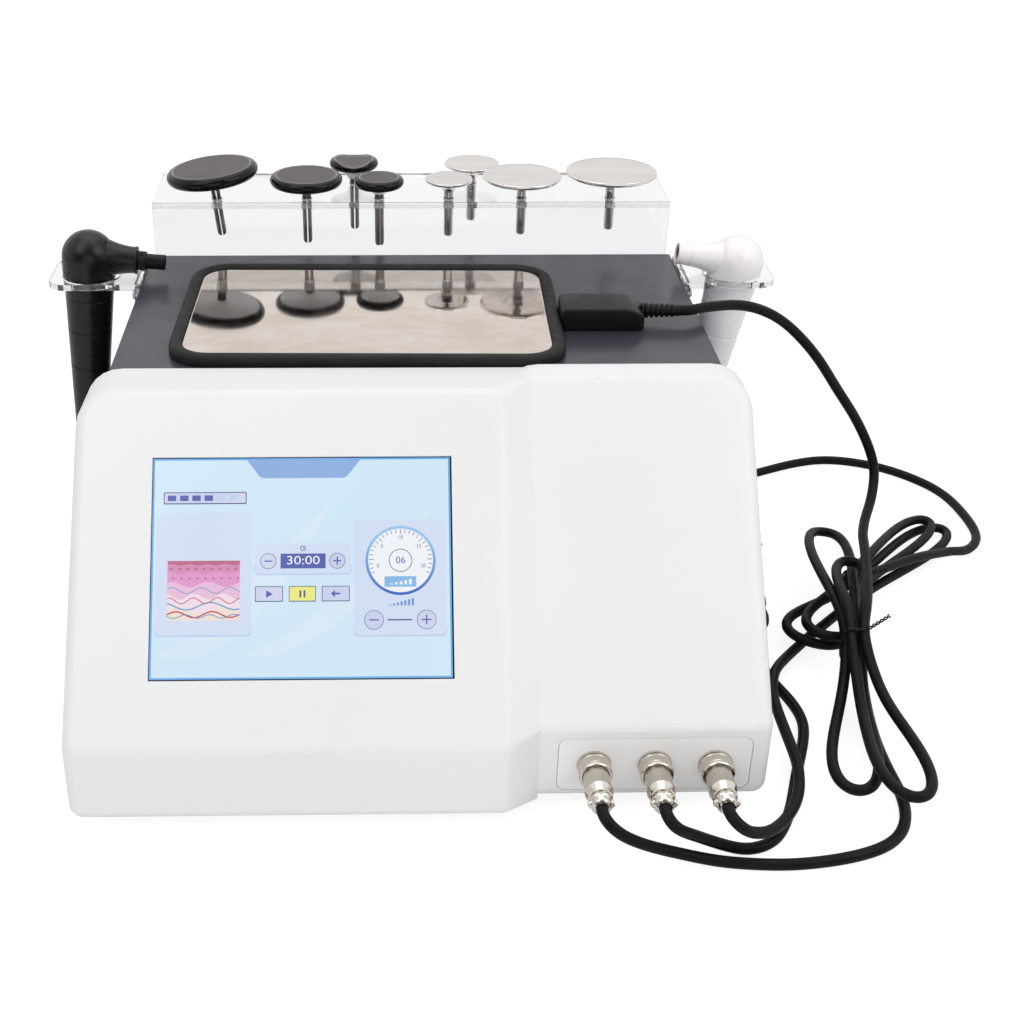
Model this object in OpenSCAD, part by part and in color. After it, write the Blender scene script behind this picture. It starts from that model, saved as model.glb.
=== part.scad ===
/* [Casing] */
// Width of the white casing
casing_w = 376; // [350:1:400]
// Depth of the casing from the screen part's front to its rear rim
casing_d = 160; // [156:1:176]
// Height of the casing's rear rim above its underside
casing_h = 196; // [192:1:206]
// Height at which the sloped face ends, above the underside
slope_top_h = 194; // [188:1:195]
// Depth of the sloped face, seen from above
slope_run = 130; // [120:1:134]
// Height of the upright front edge
front_h = 48; // [46:1:54]
// How far the socket part of the casing is set back
step_d = 16; // [10:1:18]
// Right-hand edge of the screen part, from the middle
screen_part_x = 51; // [44:1:54]
// Width of the bevel between the screen part and the socket part
bevel_w = 13; // [8:1:16]
// Wall of the casing
wall = 3; // [2.6:0.1:3.6]
// How much wider the casing is at its foot, at each side
draft = 2.5; // [0:0.5:2.5]
// Rounding of the casing's edges
edge_r = 8; // [6:0.5:9]
// Rounding of the casing's top corners
corner_r = 22; // [16:1:28]

/* [Rear box] */
// Width of the sheet metal box
box_w = 348; // [336:1:352]
// Depth of the sheet metal box
box_d = 190; // [184:1:210]
// Height of the box above the casing's underside
box_h = 192; // [188:1:193]
// Thickness of the sheet metal
sheet = 1.5; // [1.2:0.1:2]
// Height of the turned-up flanges of the base pan
flange_h = 14; // [13:0.5:15]

/* [Feet] */
// Height of the rubber feet
foot_h = 8; // [6:0.5:10]
// Diameter of the rubber feet
foot_d = 20; // [16:1:24]
// Distance between the left and the right feet
foot_pitch_x = 290; // [270:1:300]

/* [Screen] */
// Width of the visible screen
screen_w = 162; // [150:1:166]
// Height of the visible screen
screen_h = 121.5; // [112:0.5:124]
// Middle of the screen, left of the middle of the machine
screen_x = -63.5; // [-68:0.5:-60]
// Distance of the screen's lower edge up the sloped face
screen_rise = 37; // [34:0.5:40]
// How far the glass reaches under the casing at each side
glass_lap = 3; // [2:0.5:4]
// Depth of the glass below the casing's face
glass_recess = 1.5; // [1.2:0.1:1.8]
// Thickness of the touch glass
glass_t = 1.8; // [1.5:0.1:2.2]
// Thickness of the display panel
lcd_t = 6; // [5:0.5:7]

/* [Sockets] */
// Width of the socket panel
panel_w = 105; // [103:1:110]
// Height of the socket panel
panel_h = 34.5; // [32:0.5:36]
// Thickness of the socket panel
panel_t = 1.5; // [1.2:0.1:1.6]
// Middle of the socket panel, right of the middle of the machine
panel_x = 126.5; // [124:0.5:128]
// Middle of the socket panel above the casing's underside
panel_z = 24; // [23:0.5:25]
// Distance between neighbouring sockets
socket_pitch = 33; // [30:0.5:34]
// Diameter of a socket's thread
socket_d = 15.2; // [14.6:0.1:15.6]
// Bore of a socket
socket_bore = 12.8; // [12.4:0.1:13]
// Diameter of a coupling ring
ring_d = 18.2; // [17.8:0.1:19]
// Length of a coupling ring
ring_l = 9; // [8:0.5:10]
// Diameter of a cable plug's barrel
barrel_d = 14.4; // [13.8:0.1:14.4]
// Length of a cable plug outside its ring
plug_l = 26; // [22:1:30]

/* [Electrode rack] */
// Width of the clear rack
rack_w = 343; // [336:1:348]
// Depth of the rack's shelf
shelf_d = 65; // [62:1:72]
// Thickness of the clear sheet
rack_t = 5; // [4:0.5:6]
// Height of the shelf's top above the box
shelf_rise = 36; // [33:1:40]
// How far the rack reaches down behind the box
rack_drop = 42; // [34:1:48]
// Distance of the front row of holes from the box
front_row = 11; // [9.5:0.5:12]
// Distance of the rear row of holes from the box
rear_row = 44; // [43:0.5:46]
// Diameter of an electrode's pin
pin_d = 6; // [5.6:0.1:6.2]
// Play of a pin in its hole at each side
pin_play = 0.5; // [0.4:0.05:0.6]
// Length of a coated electrode's pin below its hub
coated_pin_l = 35; // [30:1:36]
// Length of a bare electrode's pin below its hub
pin_l = 30; // [26:1:34]
// Width of the slot that splits a pin
pin_slot = 1.2; // [0.8:0.1:1.6]
// Lean of the largest coated disc in its hole
large_disc_lean = 6; // [0:0.5:6]

/* [Handles] */
// Radius of a handle's round head
head_r = 17.2; // [16.8:0.1:17.4]
// Length of a handle below the middle of its head
handle_l = 137; // [120:1:140]
// Lean of the black handle in its holder
black_lean = 5; // [3:0.5:6]
// Lean of the white handle in its holder
white_lean = 9; // [6:0.5:9.5]
// Bore of the electrode socket in a handle
bore_d = 6.2; // [6:0.1:6.4]
// Depth of the electrode socket in a handle
bore_l = 20; // [16:1:24]

/* [Handle holders] */
// Thickness of the clear holders
holder_t = 4; // [3:0.5:5]
// How far a holder reaches out from the box
holder_reach = 59.5; // [57:0.5:66]
// Depth of a holder from front to back
holder_d = 50; // [46:1:54]
// Height of a holder's top above the box
holder_rise = 2.5; // [1.5:0.5:4]
// Height of a holder's flange on the side of the box
holder_flange = 14.5; // [12:0.5:18]
// Radius of the hole that a handle hangs in
holder_hole_r = 18.5; // [18.2:0.1:19.5]
// Distance of the hole's middle from the side of the box
hole_reach = 33.5; // [32:0.5:35]
// Distance of the hole's middle from the front of the box
hole_y = 148; // [140:1:152]

/* [Return plate] */
// Width of the return plate with its rim
plate_w = 230.5; // [215:0.5:236]
// Depth of the return plate with its rim
plate_d = 153; // [140:1:154]
// Height of the rubber rim
rim_h = 7; // [6:0.5:8]
// Width of the rubber rim
rim_w = 8; // [7:0.5:10]
// Outer corner radius of the rubber rim
rim_r = 25; // [20:1:30]
// Thickness of the rubber floor under the steel
rim_floor = 4.3; // [3:0.1:4.5]
// Thickness of the steel plate
steel_t = 1; // [0.8:0.1:1.2]
// Length of the plug on the plate's right side
block_l = 50; // [44:1:54]
// Width of the plug on the plate's right side
block_w = 28; // [24:1:32]
// Height of the plug on the plate's right side
block_h = 13.7; // [12.5:0.1:15]

/* [Fan and mains inlet] */
// Side of the fan's frame
fan_size = 80; // [76:1:84]
// Depth of the fan's frame
fan_d = 25; // [22:1:28]
// Width of the mains inlet's flange
inlet_w = 32; // [31:1:34]
// Height of the mains inlet's flange
inlet_h = 68; // [66:1:72]

/* [Cords] */
// Diameter of the cords
cord_d = 6.5; // [6:0.1:6.6]

/* [Hidden] */

// Facets of true round faces, and of the rounded ends inside a hull
$fn = 48;
hull_fn = 24;
inner_hull_fn = 16;

// Running clearance of shafts, gap of loose pieces, and oversize of a cut
run_gap = 0.05;
loose_gap = 0.3;
eps = 0.01;
over = 1;

// Colours
white_abs = [0.93, 0.93, 0.93];
dark_steel = [0.40, 0.40, 0.44];
zinc = [0.72, 0.73, 0.75];
nickel = [0.80, 0.79, 0.76];
steel = [0.85, 0.84, 0.83];
clear = [0.85, 0.88, 0.90, 0.45];
black_rubber = [0.10, 0.10, 0.11];
black_abs = [0.16, 0.16, 0.17];
board_green = [0.08, 0.35, 0.20];

// Places worked out from the casing and the box
base_z = foot_h;
rear_y = casing_d;
casing_top = base_z + casing_h;
face_angle = atan2(slope_top_h - front_h, slope_run);
box_front = rear_y + sheet;
box_rear = rear_y + box_d;
box_side = box_w / 2;
box_top = base_z + box_h;
pan_top = base_z + sheet;
total_d = box_rear + shelf_d;
inner_side = box_side - sheet;

// The step in the casing's top between the screen part and the socket part
screen_part_dip = 1.5;

// The casing's side profile, as points of depth and height
function side_profile(y0, top) = [
    [rear_y, base_z],
    [y0, base_z],
    [y0, base_z + front_h],
    [y0 + slope_run, base_z + slope_top_h],
    [rear_y, top]];
function unit(v) = v / norm(v);
function right_of(v) = [v.y, -v.x];

// Centre of a round edge of radius r that lies inside the corner at b
function inset(a, b, c, r) =
    let (n1 = right_of(unit(b - a)), n2 = right_of(unit(c - b)))
    b + r * (n1 + n2) / (1 + n1 * n2);
function edge_centre(profile, i) =
    inset(profile[i - 1], profile[i], profile[i + 1], edge_r);

// How far the casing's side stands out at a height above its top corners' line
function flared(z) = draft * (1 - (z - base_z) / casing_h);

// Everything is drawn from the screen part's front, then centred in depth
module placed() { translate([0, -total_d / 2, 0]) children(); }
module on_face() {
    translate([0, 0, base_z + front_h]) rotate([face_angle, 0, 0]) children();
}
module facing_front() { rotate([90, 0, 0]) children(); }
module facing_rear() { rotate([-90, 0, 0]) children(); }
module facing_side(s) { rotate([0, 90 * s, 0]) children(); }

// A plate with round corners, in the plane of its first two sizes
module rounded_plate(w, d, h, r) {
    linear_extrude(h) union() {
        square([w - 2 * r, d], center = true);
        square([w, d - 2 * r], center = true);
        for (x = [-1, 1], y = [-1, 1])
            translate([x * (w / 2 - r), y * (d / 2 - r)]) circle(r);
    }
}

// Pan-head screw along -Z with its head's underside at zero
m3_r = 1.45;
m3_hole_r = 1.6;
m3_pilot_r = m3_r + run_gap;
m3_head_r = 2.8;
m3_head_h = 2;
nut_h = 2.4;
nut_af = 5.5;
module m3_screw(l) {
    difference() {
        union() {
            cylinder(r = m3_head_r, h = m3_head_h);
            translate([0, 0, -l]) cylinder(r = m3_r, h = l + eps);
        }
        translate([0, 0, m3_head_h / 2]) cylinder(r = 1.2, h = m3_head_h, $fn = 6);
    }
}
module m3_nut() {
    difference() {
        cylinder(d = nut_af / cos(30), h = nut_h, $fn = 6);
        translate([0, 0, -over]) cylinder(r = m3_pilot_r, h = nut_h + 2 * over);
    }
}
// A screw through a stack of the given thickness, with its nut
module m3_bolt(grip) {
    m3_screw(grip + nut_h + 0.8);
    translate([0, 0, -grip - nut_h]) m3_nut();
}

// Casing

// Faceted ball for a hull, whose flat sides lie at the full radius
module ball(r) { sphere(r / cos(180 / $fn)); }
// Rounded slab of the socket part, between two x positions
module socket_block(r, reach) {
    x0 = screen_part_x - 5;
    x1 = casing_w / 2;
    profile = side_profile(step_d, casing_top);
    less = edge_r - r;
    hull() {
        for (s = [0, 1]) {
            x = s == 0 ? x0 + edge_r : x1 - edge_r;
            for (i = [1, 2]) let (c = edge_centre(profile, i))
                translate([x + s * flared(c.y), c.x, c.y]) ball(r);
            translate([x + s * flared(base_z + edge_r), rear_y - 2 + reach, base_z + edge_r])
                facing_rear() cylinder(r = r, h = 2);
        }
        for (x = [x0 + corner_r, x1 - corner_r]) top_corner(x, profile, casing_top, r, less, reach);
    }
}
// The round top corner: a ring in the sloped face and a disc at the rear rim
module top_corner(x, profile, top, r, less, reach) {
    c = edge_centre(profile, 3);
    ring_r = corner_r - edge_r;
    translate([x, c.x, c.y]) rotate([face_angle, 0, 0]) translate([0, -ring_r, 0])
        rotate_extrude() translate([ring_r, 0]) circle(r);
    translate([x, rear_y - 2 + reach, top - corner_r])
        facing_rear() cylinder(r = corner_r - less, h = 2);
}
// Rounded slab of the screen part, bevelled down to the socket part
module screen_block(r, reach) {
    x0 = -casing_w / 2;
    profile = side_profile(0, casing_top - screen_part_dip);
    rear_profile = side_profile(step_d, casing_top - screen_part_dip);
    less = edge_r - r;
    corner = 0.5;
    // The bevel ends a little inside the socket part
    tuck = 0.4;
    hull() {
        for (s = [0, 1], i = [1, 2]) let (c = edge_centre(profile, i))
            translate([s == 0 ? x0 + edge_r - flared(c.y) : screen_part_x - edge_r, c.x, c.y])
                ball(r);
        translate([screen_part_x - edge_r, edge_centre(profile, 3).x, edge_centre(profile, 3).y])
            ball(r);
        translate([x0 + edge_r - flared(base_z + edge_r), rear_y - 2 + reach, base_z + edge_r])
            facing_rear() cylinder(r = r, h = 2);
        top_corner(x0 + corner_r, profile, casing_top - screen_part_dip, r, less, reach);
        for (i = [1, 2, 3])
            translate([screen_part_x + bevel_w - corner - less,
                       rear_profile[i].x + less + tuck,
                       rear_profile[i].y + (i == 1 ? less + tuck : -less - tuck - corner)])
                cube(corner);
        for (z = [base_z + less + tuck, casing_top - screen_part_dip - less - tuck - corner])
            translate([screen_part_x + bevel_w - corner - less, rear_y - corner + reach, z])
                cube(corner);
    }
}

// Depth to which a boss is rooted in its wall
root = 1;
// Screws that hold the casing to the bulkhead, as x and z
boss_r = 6.5;
boss_l = 14;
boss_in = wall + boss_r - 1;
casing_screws = [
    for (s = [-1, 1], z = [52, 148]) [s * (casing_w / 2 + flared(z) - boss_in), z],
    for (s = [-1, 1]) [s * 100, base_z + boss_in],
    [-100, casing_top - screen_part_dip - boss_in], [100, casing_top - boss_in]];
// Bosses that hold the display, on the sloped face
lcd_w = screen_w + 2 * glass_lap;
lcd_h = screen_h + 2 * glass_lap;
lcd_y = screen_rise + screen_h / 2;
lcd_front = glass_recess + glass_t;
lcd_back = lcd_front + lcd_t;
ear = 10;
ear_t = 1.2;
lcd_boss_l = lcd_back - ear_t - wall;
lcd_screws = [for (x = [-1, 1], y = [-1, 1])
    [screen_x + x * (lcd_w / 2 + ear / 2), lcd_y + y * lcd_h / 3]];

// Bosses for the front feet
foot_boss_r = 5;
foot_boss_h = 9;
m4_r = 1.95;
m4_hole_r = 2.1;
m4_l = 12;
foot_recess = 3;
front_foot_y = 55;
rear_foot_inset = 30;
front_feet = [for (s = [-1, 1]) [s * foot_pitch_x / 2, front_foot_y]];
rear_feet = [for (s = [-1, 1]) [s * foot_pitch_x / 2, box_rear - rear_foot_inset]];

socket_xs = [for (i = [-1, 0, 1]) panel_x + i * socket_pitch];
socket_z = base_z + panel_z;
panel_r = 5;

module front_shell() color(white_abs) {
    difference() {
        union() {
            difference() {
                union() {
                    socket_block(edge_r, 0, $fn = hull_fn);
                    screen_block(edge_r, 0, $fn = hull_fn);
                }
                socket_block(edge_r - wall, over, $fn = inner_hull_fn);
                screen_block(edge_r - wall, over, $fn = inner_hull_fn);
            }
            for (p = casing_screws)
                translate([p.x, rear_y - boss_l, p.y]) facing_rear()
                    cylinder(r = boss_r, h = boss_l);
            for (p = front_feet)
                translate([p.x, p.y, base_z + wall - root])
                    cylinder(r = foot_boss_r, h = foot_boss_h + root);
            on_face() for (p = lcd_screws)
                translate([p.x, p.y, -wall - lcd_boss_l])
                    cylinder(r = ear / 2 - 0.6, h = lcd_boss_l + root);
        }
        for (p = casing_screws)
            translate([p.x, rear_y - boss_l + 2, p.y]) facing_rear()
                cylinder(r = m3_pilot_r, h = boss_l);
        for (p = front_feet)
            translate([p.x, p.y, base_z - over])
                cylinder(r = m4_r + run_gap, h = m4_l);
        on_face() {
            translate([screen_x - screen_w / 2, screen_rise, -wall - over])
                cube([screen_w, screen_h, wall + 2 * over]);
            translate([screen_x - lcd_w / 2 - loose_gap, lcd_y - lcd_h / 2 - loose_gap, -lcd_front])
                cube([lcd_w + 2 * loose_gap, lcd_h + 2 * loose_gap, lcd_front - glass_recess]);
            for (p = lcd_screws)
                translate([p.x, p.y, -wall - lcd_boss_l - over])
                    cylinder(r = m3_pilot_r, h = lcd_boss_l + over);
        }
        translate([panel_x, step_d + panel_t, socket_z]) facing_front()
            rounded_plate(panel_w + 2 * loose_gap, panel_h + 2 * loose_gap, panel_t + over,
                          panel_r + loose_gap);
        for (x = socket_xs)
            translate([x, step_d - over, socket_z]) facing_rear()
                cylinder(d = socket_d + 0.4, h = wall + 3 * over);
    }
}

module socket_panel() color(white_abs) {
    difference() {
        translate([panel_x, step_d + panel_t, socket_z]) facing_front()
            rounded_plate(panel_w, panel_h, panel_t, panel_r);
        for (x = socket_xs)
            translate([x, step_d - over, socket_z]) facing_rear()
                cylinder(d = socket_d + 0.4, h = panel_t + 2 * over);
    }
}

// Rear box

side_screw_ys = [box_front + 35, box_rear - 45];
side_screw_z = pan_top + flange_h * 0.6;
rear_screw_xs = [-150, -20, 80, 150];
rear_screw_z = pan_top + flange_h * 0.6;
rack_screw_xs = [-150, -50, 50, 150];
rack_screw_z = box_top - sheet - 8;
cable_way = [220, 90];
bulkhead_inset = 1;

module base_pan() color(zinc) {
    difference() {
        union() {
            // Floor of the box
            translate([-inner_side, rear_y, base_z]) cube([2 * inner_side, box_d, sheet]);
            // Bulkhead behind the casing, with the casing's own top corners
            difference() {
                translate([0, rear_y, base_z + (casing_h - screen_part_dip) / 2])
                    facing_front() mirror([0, 0, 1])
                    rounded_plate(casing_w - 2 * bulkhead_inset,
                                  casing_h - screen_part_dip - 2 * bulkhead_inset,
                                  sheet, corner_r - bulkhead_inset);
                translate([-casing_w / 2, rear_y - over, -over])
                    cube([casing_w, sheet + 2 * over, over + base_z]);
            }
            // Flanges at the sides and at the rear
            for (s = [-1, 1])
                translate([s > 0 ? inner_side - sheet : -inner_side, box_front - eps, pan_top - eps])
                    cube([sheet, box_d - 3 * sheet, flange_h]);
            translate([-inner_side + 2, box_rear - 2 * sheet, pan_top - eps])
                cube([2 * inner_side - 4, sheet, flange_h]);
        }
        for (p = casing_screws)
            translate([p.x, rear_y - over, p.y]) facing_rear()
                cylinder(r = m3_hole_r, h = sheet + 2 * over);
        for (p = rear_feet)
            translate([p.x, p.y, base_z - over]) cylinder(r = m4_hole_r, h = sheet + 2 * over);
        for (x = rear_screw_xs)
            translate([x, box_rear - 2 * sheet - over, rear_screw_z]) facing_rear()
                cylinder(r = m3_hole_r, h = sheet + 2 * over);
        for (s = [-1, 1], y = side_screw_ys)
            translate([s * (inner_side - sheet - over), y, side_screw_z]) facing_side(s)
                cylinder(r = m3_hole_r, h = sheet + 2 * over);
        translate([-cable_way.x / 2, rear_y - over, base_z + 60])
            cube([cable_way.x, sheet + 2 * over, cable_way.y]);
    }
}

holder_screw_ys = [for (s = [-1, 1]) box_front + hole_y + s * 13];
holder_screw_z = box_top + holder_rise - holder_flange / 2 - holder_t / 2;
vent_count = 9;

module top_cover() color(dark_steel) {
    difference() {
        translate([-box_side, box_front, base_z])
            cube([box_w, box_d - sheet, box_h]);
        translate([-inner_side, box_front - over, base_z - over])
            cube([2 * inner_side, box_d + 2 * over, box_h + over - sheet]);
        for (s = [-1, 1], y = side_screw_ys)
            translate([s * (inner_side - over), y, side_screw_z]) facing_side(s)
                cylinder(r = m3_hole_r, h = sheet + 2 * over);
        for (s = [-1, 1], y = holder_screw_ys)
            translate([s * (inner_side - over), y, holder_screw_z]) facing_side(s)
                cylinder(r = m3_hole_r, h = sheet + 2 * over);
        // Ventilation slots low in both sides
        for (s = [-1, 1], i = [0 : vent_count - 1])
            translate([s * box_side - 5, box_front + 50 + 10 * i, base_z + 50])
                cube([10, 4, 40]);
    }
    // Rear flange that takes the rack's screws
    difference() {
        translate([-inner_side, box_rear - 2 * sheet, rack_screw_z - 7])
            cube([2 * inner_side, sheet, box_top - rack_screw_z + 7 - sheet]);
        for (x = rack_screw_xs)
            translate([x, box_rear - 2 * sheet - over, rack_screw_z]) facing_rear()
                cylinder(r = m3_hole_r, h = sheet + 2 * over);
    }
}

fan_x = -75;
fan_z = base_z + 95;
fan_bore = fan_size - 5;
fan_hole_pitch = fan_size - 8.5;
fan_back = box_rear - sheet;
inlet_x = 115;
inlet_z = base_z + 18 + inlet_h / 2;
inlet_body_w = inlet_w - 5;
inlet_body_h = inlet_h - 9;
inlet_flange_t = 2.5;
fan_holes = [for (x = [-1, 1], z = [-1, 1])
    [fan_x + x * fan_hole_pitch / 2, fan_z + z * fan_hole_pitch / 2]];

module rear_panel() color(dark_steel) {
    difference() {
        translate([-inner_side, box_rear - sheet, pan_top])
            cube([2 * inner_side, sheet, box_h - 2 * sheet]);
        translate([fan_x, box_rear - sheet - over, fan_z]) facing_rear()
            cylinder(d = fan_bore, h = sheet + 2 * over);
        for (p = fan_holes)
            translate([p.x, box_rear - sheet - over, p.y]) facing_rear()
                cylinder(r = m3_hole_r, h = sheet + 2 * over);
        translate([inlet_x - inlet_body_w / 2 - loose_gap, box_rear - sheet - over,
                   inlet_z - inlet_body_h / 2 - loose_gap])
            cube([inlet_body_w + 2 * loose_gap, sheet + 2 * over, inlet_body_h + 2 * loose_gap]);
        for (x = rear_screw_xs)
            translate([x, box_rear - sheet - over, rear_screw_z]) facing_rear()
                cylinder(r = m3_hole_r, h = sheet + 2 * over);
        for (x = rack_screw_xs)
            translate([x, box_rear - sheet - over, rack_screw_z]) facing_rear()
                cylinder(r = m3_hole_r, h = sheet + 2 * over);
    }
}

// Screen

module touch_glass() color([0.75, 0.85, 0.95]) {
    on_face() translate([screen_x - lcd_w / 2, lcd_y - lcd_h / 2, -lcd_front])
        cube([lcd_w, lcd_h, glass_t]);
}

module lcd_panel() color(zinc) {
    on_face() difference() {
        union() {
            translate([screen_x - lcd_w / 2, lcd_y - lcd_h / 2, -lcd_back])
                cube([lcd_w, lcd_h, lcd_t]);
            for (p = lcd_screws)
                translate([p.x - ear / 2 - (p.x > screen_x ? eps : 0), p.y - ear / 2, -lcd_back])
                    cube([ear + eps, ear, ear_t]);
        }
        for (p = lcd_screws)
            translate([p.x, p.y, -lcd_back - over]) cylinder(r = m3_hole_r, h = ear_t + 2 * over);
    }
}

board_t = 1.6;
control_board_size = [130, 85];
control_standoff = 7;
module control_board() color(board_green) {
    on_face() translate([screen_x, lcd_y, -lcd_back]) {
        for (x = [-1, 1], y = [-1, 1])
            translate([x * (control_board_size.x / 2 - 5), y * (control_board_size.y / 2 - 5),
                       -control_standoff])
                cylinder(r = 2.5, h = control_standoff);
        translate([-control_board_size.x / 2, -control_board_size.y / 2,
                   -control_standoff - board_t])
            cube([control_board_size.x, control_board_size.y, board_t]);
        // Processor, memory and connectors on the rear of the board
        translate([-20, -10, -control_standoff - board_t - 2]) cube([24, 24, 2 + eps]);
        translate([15, -8, -control_standoff - board_t - 1.5]) cube([18, 10, 1.5 + eps]);
        for (x = [-50, -35, 35])
            translate([x, 28, -control_standoff - board_t - 7]) cube([12, 7, 7 + eps]);
    }
}

// Electronics in the box

psu_size = [130, 98, 38];
psu_at = [-155, box_front + 12];
module power_supply() color(zinc) {
    translate([psu_at.x, psu_at.y, pan_top]) difference() {
        cube(psu_size);
        // Terminal ledge at the left end
        translate([-over, -over, 12]) cube([14 + over, psu_size.y + 2 * over, psu_size.z]);
        // Ventilation slots in the lid
        for (i = [0 : 7])
            translate([28 + 11 * i, 18, psu_size.z - 1]) cube([4, psu_size.y - 36, 1 + over]);
    }
}

rf_size = [150, 110];
rf_at = [5, box_front + 12];
rf_standoff = 8;
rf_top = pan_top + rf_standoff + board_t;
device_h = 5;
module rf_board() color(board_green) {
    translate([rf_at.x, rf_at.y, pan_top]) {
        for (x = [6, rf_size.x - 6], y = [6, rf_size.y - 6])
            translate([x, y, 0]) cylinder(r = 3, h = rf_standoff);
        translate([0, 0, rf_standoff]) cube([rf_size.x, rf_size.y, board_t]);
        // Power devices under the heatsink
        for (i = [0 : 3])
            translate([22 + 26 * i, 28, rf_standoff + board_t - eps]) cube([16, 20, device_h + eps]);
        // Capacitors, coils and relays
        for (i = [0 : 4])
            translate([20 + 16 * i, 90, rf_standoff + board_t - eps]) cylinder(d = 12.5, h = 25);
        for (i = [0 : 2])
            translate([100 + 15 * i, 82, rf_standoff + board_t - eps]) cube([12, 20, 15]);
    }
}

fin_count = 10;
sink_size = [112, 40, 4];
fin_h = 26;
fin_t = 1.6;
module rf_heatsink() color([0.75, 0.76, 0.78]) {
    translate([rf_at.x + 15, rf_at.y + 18, rf_top + device_h]) {
        cube(sink_size);
        for (i = [0 : fin_count - 1])
            translate([0, i * (sink_size.y - fin_t) / (fin_count - 1), sink_size.z - eps])
                cube([sink_size.x, fin_t, fin_h]);
    }
}

core_d = 64;
core_h = 30;
core_at = [-50, box_rear - 44];
module output_transformer() color([0.75, 0.45, 0.20]) {
    translate([core_at.x, core_at.y, pan_top]) {
        difference() {
            cylinder(d = core_d, h = core_h);
            translate([0, 0, 4]) cylinder(d = 22, h = core_h);
        }
        cylinder(d = 5, h = core_h + 6);
        translate([0, 0, core_h]) cylinder(d = 34, h = 2);
        translate([0, 0, core_h + 2 - eps]) cylinder(d = 9, h = 4, $fn = 6);
    }
}

// Fan

blade_count = 7;
hub_r = 17;
axle_r = 1.5;
module fan_frame() color(black_abs) {
    translate([fan_x, fan_back, fan_z]) facing_front() {
        difference() {
            linear_extrude(fan_d) difference() {
                square(fan_size, center = true);
                circle(d = fan_bore);
                for (x = [-1, 1], y = [-1, 1])
                    translate([x, y] * fan_hole_pitch / 2) circle(r = 2.1);
            }
        }
        // Motor plate and struts at the inner side, with the axle
        translate([0, 0, fan_d - 3]) cylinder(r = hub_r, h = 3);
        for (a = [45 : 90 : 315])
            rotate(a) translate([hub_r - over, -2, fan_d - 3])
                cube([fan_bore / 2 - hub_r + 2 * over, 4, 3]);
        translate([0, 0, 6]) cylinder(r = axle_r, h = fan_d - 6);
    }
}

module fan_rotor() color(black_abs) {
    blade_reach = fan_bore / 2 - 1.2;
    translate([fan_x, fan_back, fan_z]) facing_front() difference() {
        union() {
            translate([0, 0, 3]) cylinder(r = hub_r - 0.5, h = fan_d - 7);
            for (i = [0 : blade_count - 1]) rotate(i * 360 / blade_count)
                translate([hub_r - 2, 0, fan_d / 2 - 0.5]) rotate([40, 0, 0])
                    translate([0, -11, -0.8]) cube([blade_reach - hub_r + 1, 22, 1.6]);
        }
        translate([0, 0, 2]) cylinder(r = axle_r + run_gap, h = fan_d);
    }
}

guard_t = 1.6;
module fan_guard() color(zinc) {
    translate([fan_x, box_rear + guard_t, fan_z]) facing_front() {
        linear_extrude(guard_t) {
            for (r = [10 : 8 : fan_size / 2 - 3]) difference() {
                circle(r + 0.8);
                circle(r - 0.8);
            }
            for (a = [45 : 90 : 315]) rotate(a) difference() {
                translate([8.5, -0.8]) square([fan_hole_pitch / sqrt(2) - 8.5, 1.6]);
                translate([fan_hole_pitch / sqrt(2), 0]) circle(3);
            }
            for (x = [-1, 1], y = [-1, 1])
                translate([x, y] * fan_hole_pitch / 2) difference() {
                    circle(3.4);
                    circle(m3_hole_r);
                }
        }
    }
}

// Mains inlet with its fuse drawer and rocker switch

inlet_body_d = 30;
rocker_at = inlet_h / 2 - 16;
drawer_at = 3;
plugway_at = -inlet_h / 2 + 19;
rocker_size = [12.4, 20, 10];
drawer_size = [17, 7.4, 20];
rocker_travel = 16;
rocker_pin_r = 1;
rocker_depth = 3.6;
module mains_inlet() color(black_abs) {
    translate([inlet_x, box_rear, inlet_z]) facing_rear() mirror([0, 1, 0]) {
        difference() {
            union() {
                rounded_plate(inlet_w, inlet_h, inlet_flange_t, 3);
                translate([-inlet_body_w / 2, -inlet_body_h / 2, -inlet_body_d])
                    cube([inlet_body_w, inlet_body_h, inlet_body_d + eps]);
            }
            // Recess that takes the mains plug
            translate([-12, plugway_at - 8.3, -17]) cube([24, 16.6, 17 + 2 * inlet_flange_t]);
            // Ways of the fuse drawer and of the rocker
            translate([-drawer_size.x / 2 - 0.1, drawer_at - drawer_size.y / 2 - 0.1, -22])
                cube([drawer_size.x + 0.2, drawer_size.y + 0.2, 22 + 2 * inlet_flange_t]);
            translate([-rocker_size.x / 2 - 0.4, rocker_at - rocker_size.y / 2 - 1, -12])
                cube([rocker_size.x + 0.8, rocker_size.y + 2, 12 + 2 * inlet_flange_t]);
            for (s = [-1, 1])
                translate([0, s * (inlet_h / 2 - 2.6), -over])
                    cylinder(r = m3_hole_r, h = inlet_flange_t + 2 * over);
        }
        // Contact pins
        for (p = [[-7, 2], [0, -2], [7, 2]])
            translate([p.x - 1, plugway_at + p.y - 2, -17 - eps]) cube([2, 4, 13]);
        // Pivot of the rocker
        translate([-rocker_size.x / 2 - 0.5, rocker_at, -rocker_depth]) facing_side(1)
            cylinder(r = rocker_pin_r, h = rocker_size.x + 1);
    }
}

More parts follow.
